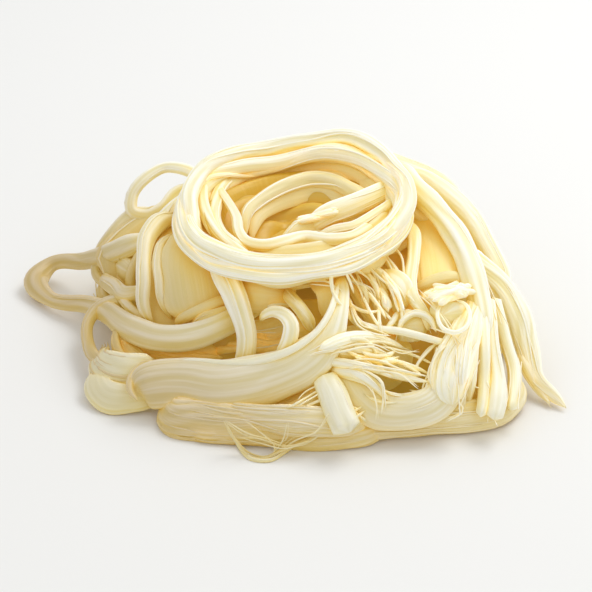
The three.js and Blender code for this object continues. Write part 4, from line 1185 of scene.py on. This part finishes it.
class CHEESE_OT_filling(bpy.types.Operator):
    """Bundles of strands that hang down and wind round under the ones that show"""

    bl_idname = "cheese.filling"
    bl_label = "Filling strands"

    def execute(self, context):
        bed = make_bed(reach=11)
        strands = Strands(31)
        count = context.scene.cheese_heap.filling
        for i in range(count):
            turn = 2 * math.pi * ((i * GOLDEN_SECTION) % 1)
            climb = math.radians(6 + 38 * (i + 0.5) / count)
            # Only over the back half, and not near the top: at the front the gaps go down to the core.
            if math.sin(turn) * math.cos(climb) >= 0.12 and climb <= math.radians(38):
                filling_bundle(strands, bed, turn, climb)
        place_strands(strands, "filling_strands", "clear")
        return {"FINISHED"}


class CHEESE_OT_back(bpy.types.Operator):
    """Strands draped over the back and the flanks"""

    bl_idname = "cheese.back"
    bl_label = "Back strands"

    def execute(self, context):
        strands = Strands(5)
        for i in range(BACK_STRANDS):
            strands.add(back_strand(i), ROUND, facing=outwards, bury=BURY)
        for stops in FLANKS.values():
            strands.add(stops, ROUND, facing=outwards, bury=BURY)
        place_strands(strands, "back_strands")
        return {"FINISHED"}


class CHEESE_OT_coil(bpy.types.Operator):
    """Strand wound round the top"""

    bl_idname = "cheese.coil"
    bl_label = "Top coil"

    def execute(self, context):
        strands = Strands(11)
        for turn in COIL:
            strands.add(coil_turn(*turn), 0.85, style="coil", wobble=0.25, fray=1.4)
        place_strands(strands, "top_coil")
        inside = (("bowl_turns", BOWL_TURNS, 0.7, "clear"), ("floor_turns", FLOOR_TURNS, 0.5, "packed"))
        for name, turns, flat, finish_name in inside:
            strands = Strands(12)
            for turn in turns:
                path = coil_turn(*turn, tuck=0.2)
                strands.add(path, flat, style="wall", spacing=1.2, wobble=0.3, fray=1.4)
            place_strands(strands, name, finish_name)
        return {"FINISHED"}


class CHEESE_OT_ribbons(bpy.types.Operator):
    """Broad ribbons low on the front"""

    bl_idname = "cheese.ribbons"
    bl_label = "Ribbons"

    def execute(self, context):
        lay_group("ribbons", RIBBONS, 21)
        lay_group("folds", FOLDS, 20, finish_name="torn")
        return {"FINISHED"}


class CHEESE_OT_loops(bpy.types.Operator):
    """Loops that stand out on the left"""

    bl_idname = "cheese.loops"
    bl_label = "Side loops"

    def execute(self, context):
        lay_group("side_loops", LOOPS, 22)
        return {"FINISHED"}


class CHEESE_OT_front(bpy.types.Operator):
    """Strands that hang down the front and the left"""

    bl_idname = "cheese.front"
    bl_label = "Front strands"

    def execute(self, context):
        lay_group("front_strands", FRONT, 23)
        return {"FINISHED"}


class CHEESE_OT_walls(bpy.types.Operator):
    """Broad clear strands behind the ones at the front"""

    bl_idname = "cheese.walls"
    bl_label = "Walls"

    def execute(self, context):
        lay_group("walls", WALLS, 28, finish_name="clear")
        lay_group("golden_panel", GOLDEN_PANEL, 29, finish_name="golden")
        return {"FINISHED"}


class CHEESE_OT_right(bpy.types.Operator):
    """Strands down the right flank, with the tail"""

    bl_idname = "cheese.right"
    bl_label = "Right strands"

    def execute(self, context):
        lay_group("right_strands", RIGHT, 24)
        return {"FINISHED"}


class CHEESE_OT_fan(bpy.types.Operator):
    """Fan of torn fibres at the right"""

    bl_idname = "cheese.fan"
    bl_label = "Fan"

    def execute(self, context):
        lay_group("fan", FAN, 25, "torn", "torn", fray=0.0)
        return {"FINISHED"}


class CHEESE_OT_sheets(bpy.types.Operator):
    """Broad sheets behind the front strands"""

    bl_idname = "cheese.sheets"
    bl_label = "Sheets"

    def execute(self, context):
        strands = Strands(71)
        for sheet, (flat, stops) in SHEETS.items():
            strands.add(seen(stops), flat, style=style_of(sheet) or "ribbon", spacing=1.2, bury=2.0)
            middle = np.asarray(stops, float)
            ahead = unit(np.gradient(middle[:, :2], axis=0))
            for _ in range(context.scene.cheese_heap.riders if sheet in RIDDEN else 0):
                apart = np.linspace(*strands.random.uniform(-0.42, 0.42, 2), len(middle)) * middle[:, 3]
                rider = middle.copy()
                rider[:, 0] -= ahead[:, 1] * apart
                rider[:, 1] += ahead[:, 0] * apart
                rider[:, 2] += 0.7
                rider[:, 3] = strands.random.uniform(0.9, 2.4)
                strands.add(seen(rider), 0.7, style="thread", wobble=0.4, fray=2.0, bury=2.5)
        place_strands(strands, "sheets", "clear")
        return {"FINISHED"}


class CHEESE_OT_shreds(bpy.types.Operator):
    """Torn shreds, curls and wisps"""

    bl_idname = "cheese.shreds"
    bl_label = "Shreds"

    def execute(self, context):
        lay_group("shreds", SHREDS, 26, finish_name="torn")
        strands = Strands(41)
        for count, spread, wide, stops in TUFTS.values():
            for _ in range(count):
                ends = strands.random.normal(0, spread / 2, (2, 3))
                blend = np.linspace(0, 1, len(stops))[:, None]
                path = np.asarray(stops) + ends[0] * (1 - blend) + ends[1] * blend
                path = np.hstack([path, np.full((len(path), 1), strands.random.uniform(*wide))])
                strands.add(seen(path), 0.8, style="tuft", spacing=0.7, wobble=0.1, fray=1.0)
        place_strands(strands, "tufts", "torn")
        return {"FINISHED"}


class CHEESE_OT_teased(bpy.types.Operator):
    """Fine fibres teased out over the torn places"""

    bl_idname = "cheese.teased"
    bl_label = "Teased fibres"

    def execute(self, context):
        bed = make_bed(reach=4)
        strands = Strands(81)
        for count, low, high, heading, spread, length, wide, above in TEASED.values():
            for _ in range(count):
                start = strands.random.uniform(low, high)
                turn = math.radians(heading + strands.random.normal(0, spread / 2))
                bend = strands.random.normal(0, 1.0)
                reach = strands.random.uniform(*length)
                over = strands.random.uniform(*above)
                shares = np.linspace(-0.5, 0.5, TEASED_STOPS)
                turns = turn + bend * shares
                across = start[0] + np.cumsum(np.cos(turns)) * reach / TEASED_STOPS
                up = start[1] + np.cumsum(np.sin(turns)) * reach / TEASED_STOPS
                height = height_seen(bed, across, up, over) + 1.2 * (0.25 - shares**2)
                width = np.full(TEASED_STOPS, strands.random.uniform(*wide))
                path = np.stack([across, up, height, width], 1)
                strands.add(seen(path), 0.8, style="wisp", spacing=1.0, wobble=0.15, fray=1.6)
        place_piece(strands.build("teased_fibres", finish("torn")))
        return {"FINISHED"}


class CHEESE_OT_bowl(bpy.types.Operator):
    """Smooth golden bowl inside the coil, wound round like the coil itself"""

    bl_idname = "cheese.bowl"
    bl_label = "Bowl"

    def execute(self, context):
        rings, around = 44, 200
        shares = np.linspace(0.02, 1, rings)
        turns = np.linspace(0, 2 * math.pi, around, endpoint=False)
        share, turn = np.meshgrid(shares, turns, indexing="ij")
        # A dish with ridges that wind round it, a coarse set and a fine one.
        far = 22.5 * share
        height = 24.0 + 9 * share**3 + 1.2 * share * np.sin(turn * 2 + 0.6)
        height += 0.9 * share * np.cos(far * 0.9 + 1.5 * np.sin(turn + 1) + 0.7 * np.sin(3 * turn))
        height += 0.15 * np.cos(far * 5 + 3 * np.sin(turn * 2))
        middle = COIL_MIDDLE[1]
        top = np.stack([far * np.cos(turn), middle + far * np.sin(turn), height], -1)
        shell = np.vstack([top, top[-2::-1] - [0, 0, 3]])
        strands = Strands(3)
        strands.keep(shell, run=np.arange(len(shell)) * 0.6, girth=120.0, crest=0.3)
        # The packed finish paints the bowl a deep gold as shade.
        place_piece(strands.build("bowl", finish("packed")))
        return {"FINISHED"}


class CHEESE_OT_fibres(bpy.types.Operator):
    """Loose fibres that cling along the strands"""

    bl_idname = "cheese.fibres"
    bl_label = "Loose fibres"

    def execute(self, context):
        settings = context.scene.cheese_heap
        tree = fibre_tree()
        inputs = [item for item in tree.interface.items_tree if item.in_out == "INPUT"]
        sockets = {item.name: item.identifier for item in inputs}
        for seed, name in enumerate(FURRED):
            furred = bpy.data.objects[name].copy()
            context.scene.collection.objects.link(furred)
            fibres = furred.modifiers.new("fibres", "NODES")
            fibres.node_group = tree
            fibres[sockets["Density"]] = settings.fibre_density * CM2_A_M2
            fibres[sockets["Length"]] = settings.fibre_length
            fibres[sockets["Thickness"]] = settings.fibre_thickness
            fibres[sockets["Seed"]] = seed
            fibres[sockets["Finish"]] = finish("wisp")
            graph = context.evaluated_depsgraph_get()
            mesh = bpy.data.meshes.new_from_object(furred.evaluated_get(graph))
            bpy.data.objects.remove(furred)
            for vert in mesh.vertices:
                vert.co.z = max(vert.co.z, TABLE_GAP * MM)
            mesh.name = name + "_fibres"
            piece = bpy.data.objects.new(mesh.name, mesh)
            context.scene.collection.objects.link(piece)
            place_piece(piece)
        return {"FINISHED"}


class CHEESE_OT_wisps(bpy.types.Operator):
    """Thin wisps that bridge the gaps"""

    bl_idname = "cheese.wisps"
    bl_label = "Wisps"

    def execute(self, context):
        strands = Strands(63)
        for wide, stops in WISPS:
            for _ in range(2):
                width = np.full((len(stops), 1), wide * strands.random.uniform(0.35, 0.8))
                path = np.hstack([stops, width])
                path[:, :2] += strands.random.normal(0, 0.35, (len(stops), 2))
                strands.add(seen(path), 0.8, style="wisp", spacing=1.0, wobble=0.12, fray=1.6)
        place_piece(strands.build("wisps", finish("wisp")))
        return {"FINISHED"}


class CHEESE_OT_nest(bpy.types.Operator):
    """Strands that cross the bowl inside the coil"""

    bl_idname = "cheese.nest"
    bl_label = "Nest"

    def execute(self, context):
        lay_group("nest", NEST, 27)
        lay_group("deep_nest", DEEP_NEST, 32, finish_name="clear")
        return {"FINISHED"}


LIT_POINT = Vector((0, 0, 15))  # the middle of the heap, in mm


def add_lamp(name, place, size, energy):
    """A square lamp, size mm across, at a place in mm. It shines at the middle of the heap."""
    lamp = bpy.data.lights.new(name, "AREA")
    lamp.size = size * MM
    lamp.energy = energy
    stand = bpy.data.objects.new(name, lamp)
    stand.location = Vector(place) * MM
    stand.rotation_euler = (Vector(place) - LIT_POINT).to_track_quat("Z", "Y").to_euler()
    bpy.context.scene.collection.objects.link(stand)


class CHEESE_OT_stage(bpy.types.Operator):
    """Floor, lamps and camera"""

    bl_idname = "cheese.stage"
    bl_label = "Stage"

    def execute(self, context):
        scene = context.scene
        settings = scene.cheese_stage
        bpy.ops.mesh.primitive_plane_add(size=6.0)
        floor = context.object
        floor.name = "floor"
        # Matt paper, which scatters light evenly and shows no glint of the lamps.
        paper = bpy.data.materials.new("matt_paper")
        paper.use_nodes = True
        paper.node_tree.nodes["Principled BSDF"].inputs["Base Color"].default_value = (*settings.paper, 1.0)
        paper.node_tree.nodes["Principled BSDF"].inputs["Roughness"].default_value = 0.9
        floor.data.materials.append(paper)
        scene.world = bpy.data.worlds.new("soft_room")
        scene.world.use_nodes = True
        scene.world.node_tree.nodes["Background"].inputs[0].default_value = linear("FFFFFF")
        scene.world.node_tree.nodes["Background"].inputs[1].default_value = settings.room
        add_lamp("key", (260, 180, 520), 300, settings.key)
        add_lamp("fill", (-320, -420, 380), 400, settings.fill)
        lens = bpy.data.cameras.new("camera")
        lens.sensor_width = 36
        lens.lens = lens.sensor_width * EYE_DISTANCE / VIEW_WIDTH
        camera = bpy.data.objects.new("camera", lens)
        camera.location = Vector((EYE - HEAP_MIDDLE) * MM)
        camera.rotation_euler = Vector(TOWARDS_EYE).to_track_quat("Z", "Y").to_euler()
        scene.collection.objects.link(camera)
        scene.camera = camera
        scene.view_settings.view_transform = "Standard"
        return {"FINISHED"}


OPERATORS = (
    CHEESE_OT_core, CHEESE_OT_filling, CHEESE_OT_sheets, CHEESE_OT_back, CHEESE_OT_coil, CHEESE_OT_ribbons,
    CHEESE_OT_loops, CHEESE_OT_front, CHEESE_OT_walls, CHEESE_OT_right, CHEESE_OT_fan, CHEESE_OT_shreds,
    CHEESE_OT_bowl, CHEESE_OT_nest, CHEESE_OT_wisps, CHEESE_OT_teased, CHEESE_OT_fibres, CHEESE_OT_stage,
)


class CHEESE_PT_panel(bpy.types.Panel):
    """Lists the pieces of the heap"""

    bl_idname = "CHEESE_PT_panel"
    bl_label = "Pulled String Cheese"
    bl_space_type = "VIEW_3D"
    bl_region_type = "UI"
    bl_category = "Cheese"

    def draw(self, context):
        scene = context.scene
        for settings in (scene.cheese_heap, scene.cheese_finish, scene.cheese_stage):
            for name in settings.__annotations__:
                self.layout.prop(settings, name)
        for operator in OPERATORS:
            self.layout.operator(operator.bl_idname)


CLASSES = (CheeseFinish, CheeseHeap, CheeseStage, *OPERATORS, CHEESE_PT_panel)


def register():
    """Registers the classes, with the settings on the scene."""
    for cls in CLASSES:
        bpy.utils.register_class(cls)
    bpy.types.Scene.cheese_finish = bpy.props.PointerProperty(type=CheeseFinish)
    bpy.types.Scene.cheese_heap = bpy.props.PointerProperty(type=CheeseHeap)
    bpy.types.Scene.cheese_stage = bpy.props.PointerProperty(type=CheeseStage)


def unregister():
    """Takes the settings and the classes away again."""
    del bpy.types.Scene.cheese_stage
    del bpy.types.Scene.cheese_heap
    del bpy.types.Scene.cheese_finish
    for cls in reversed(CLASSES):
        bpy.utils.unregister_class(cls)


def main():
    """Makes the heap piece by piece."""
    register()
    for operator in OPERATORS:
        group, name = operator.bl_idname.split(".")
        getattr(getattr(bpy.ops, group), name)()


if __name__ == "__main__":
    main()
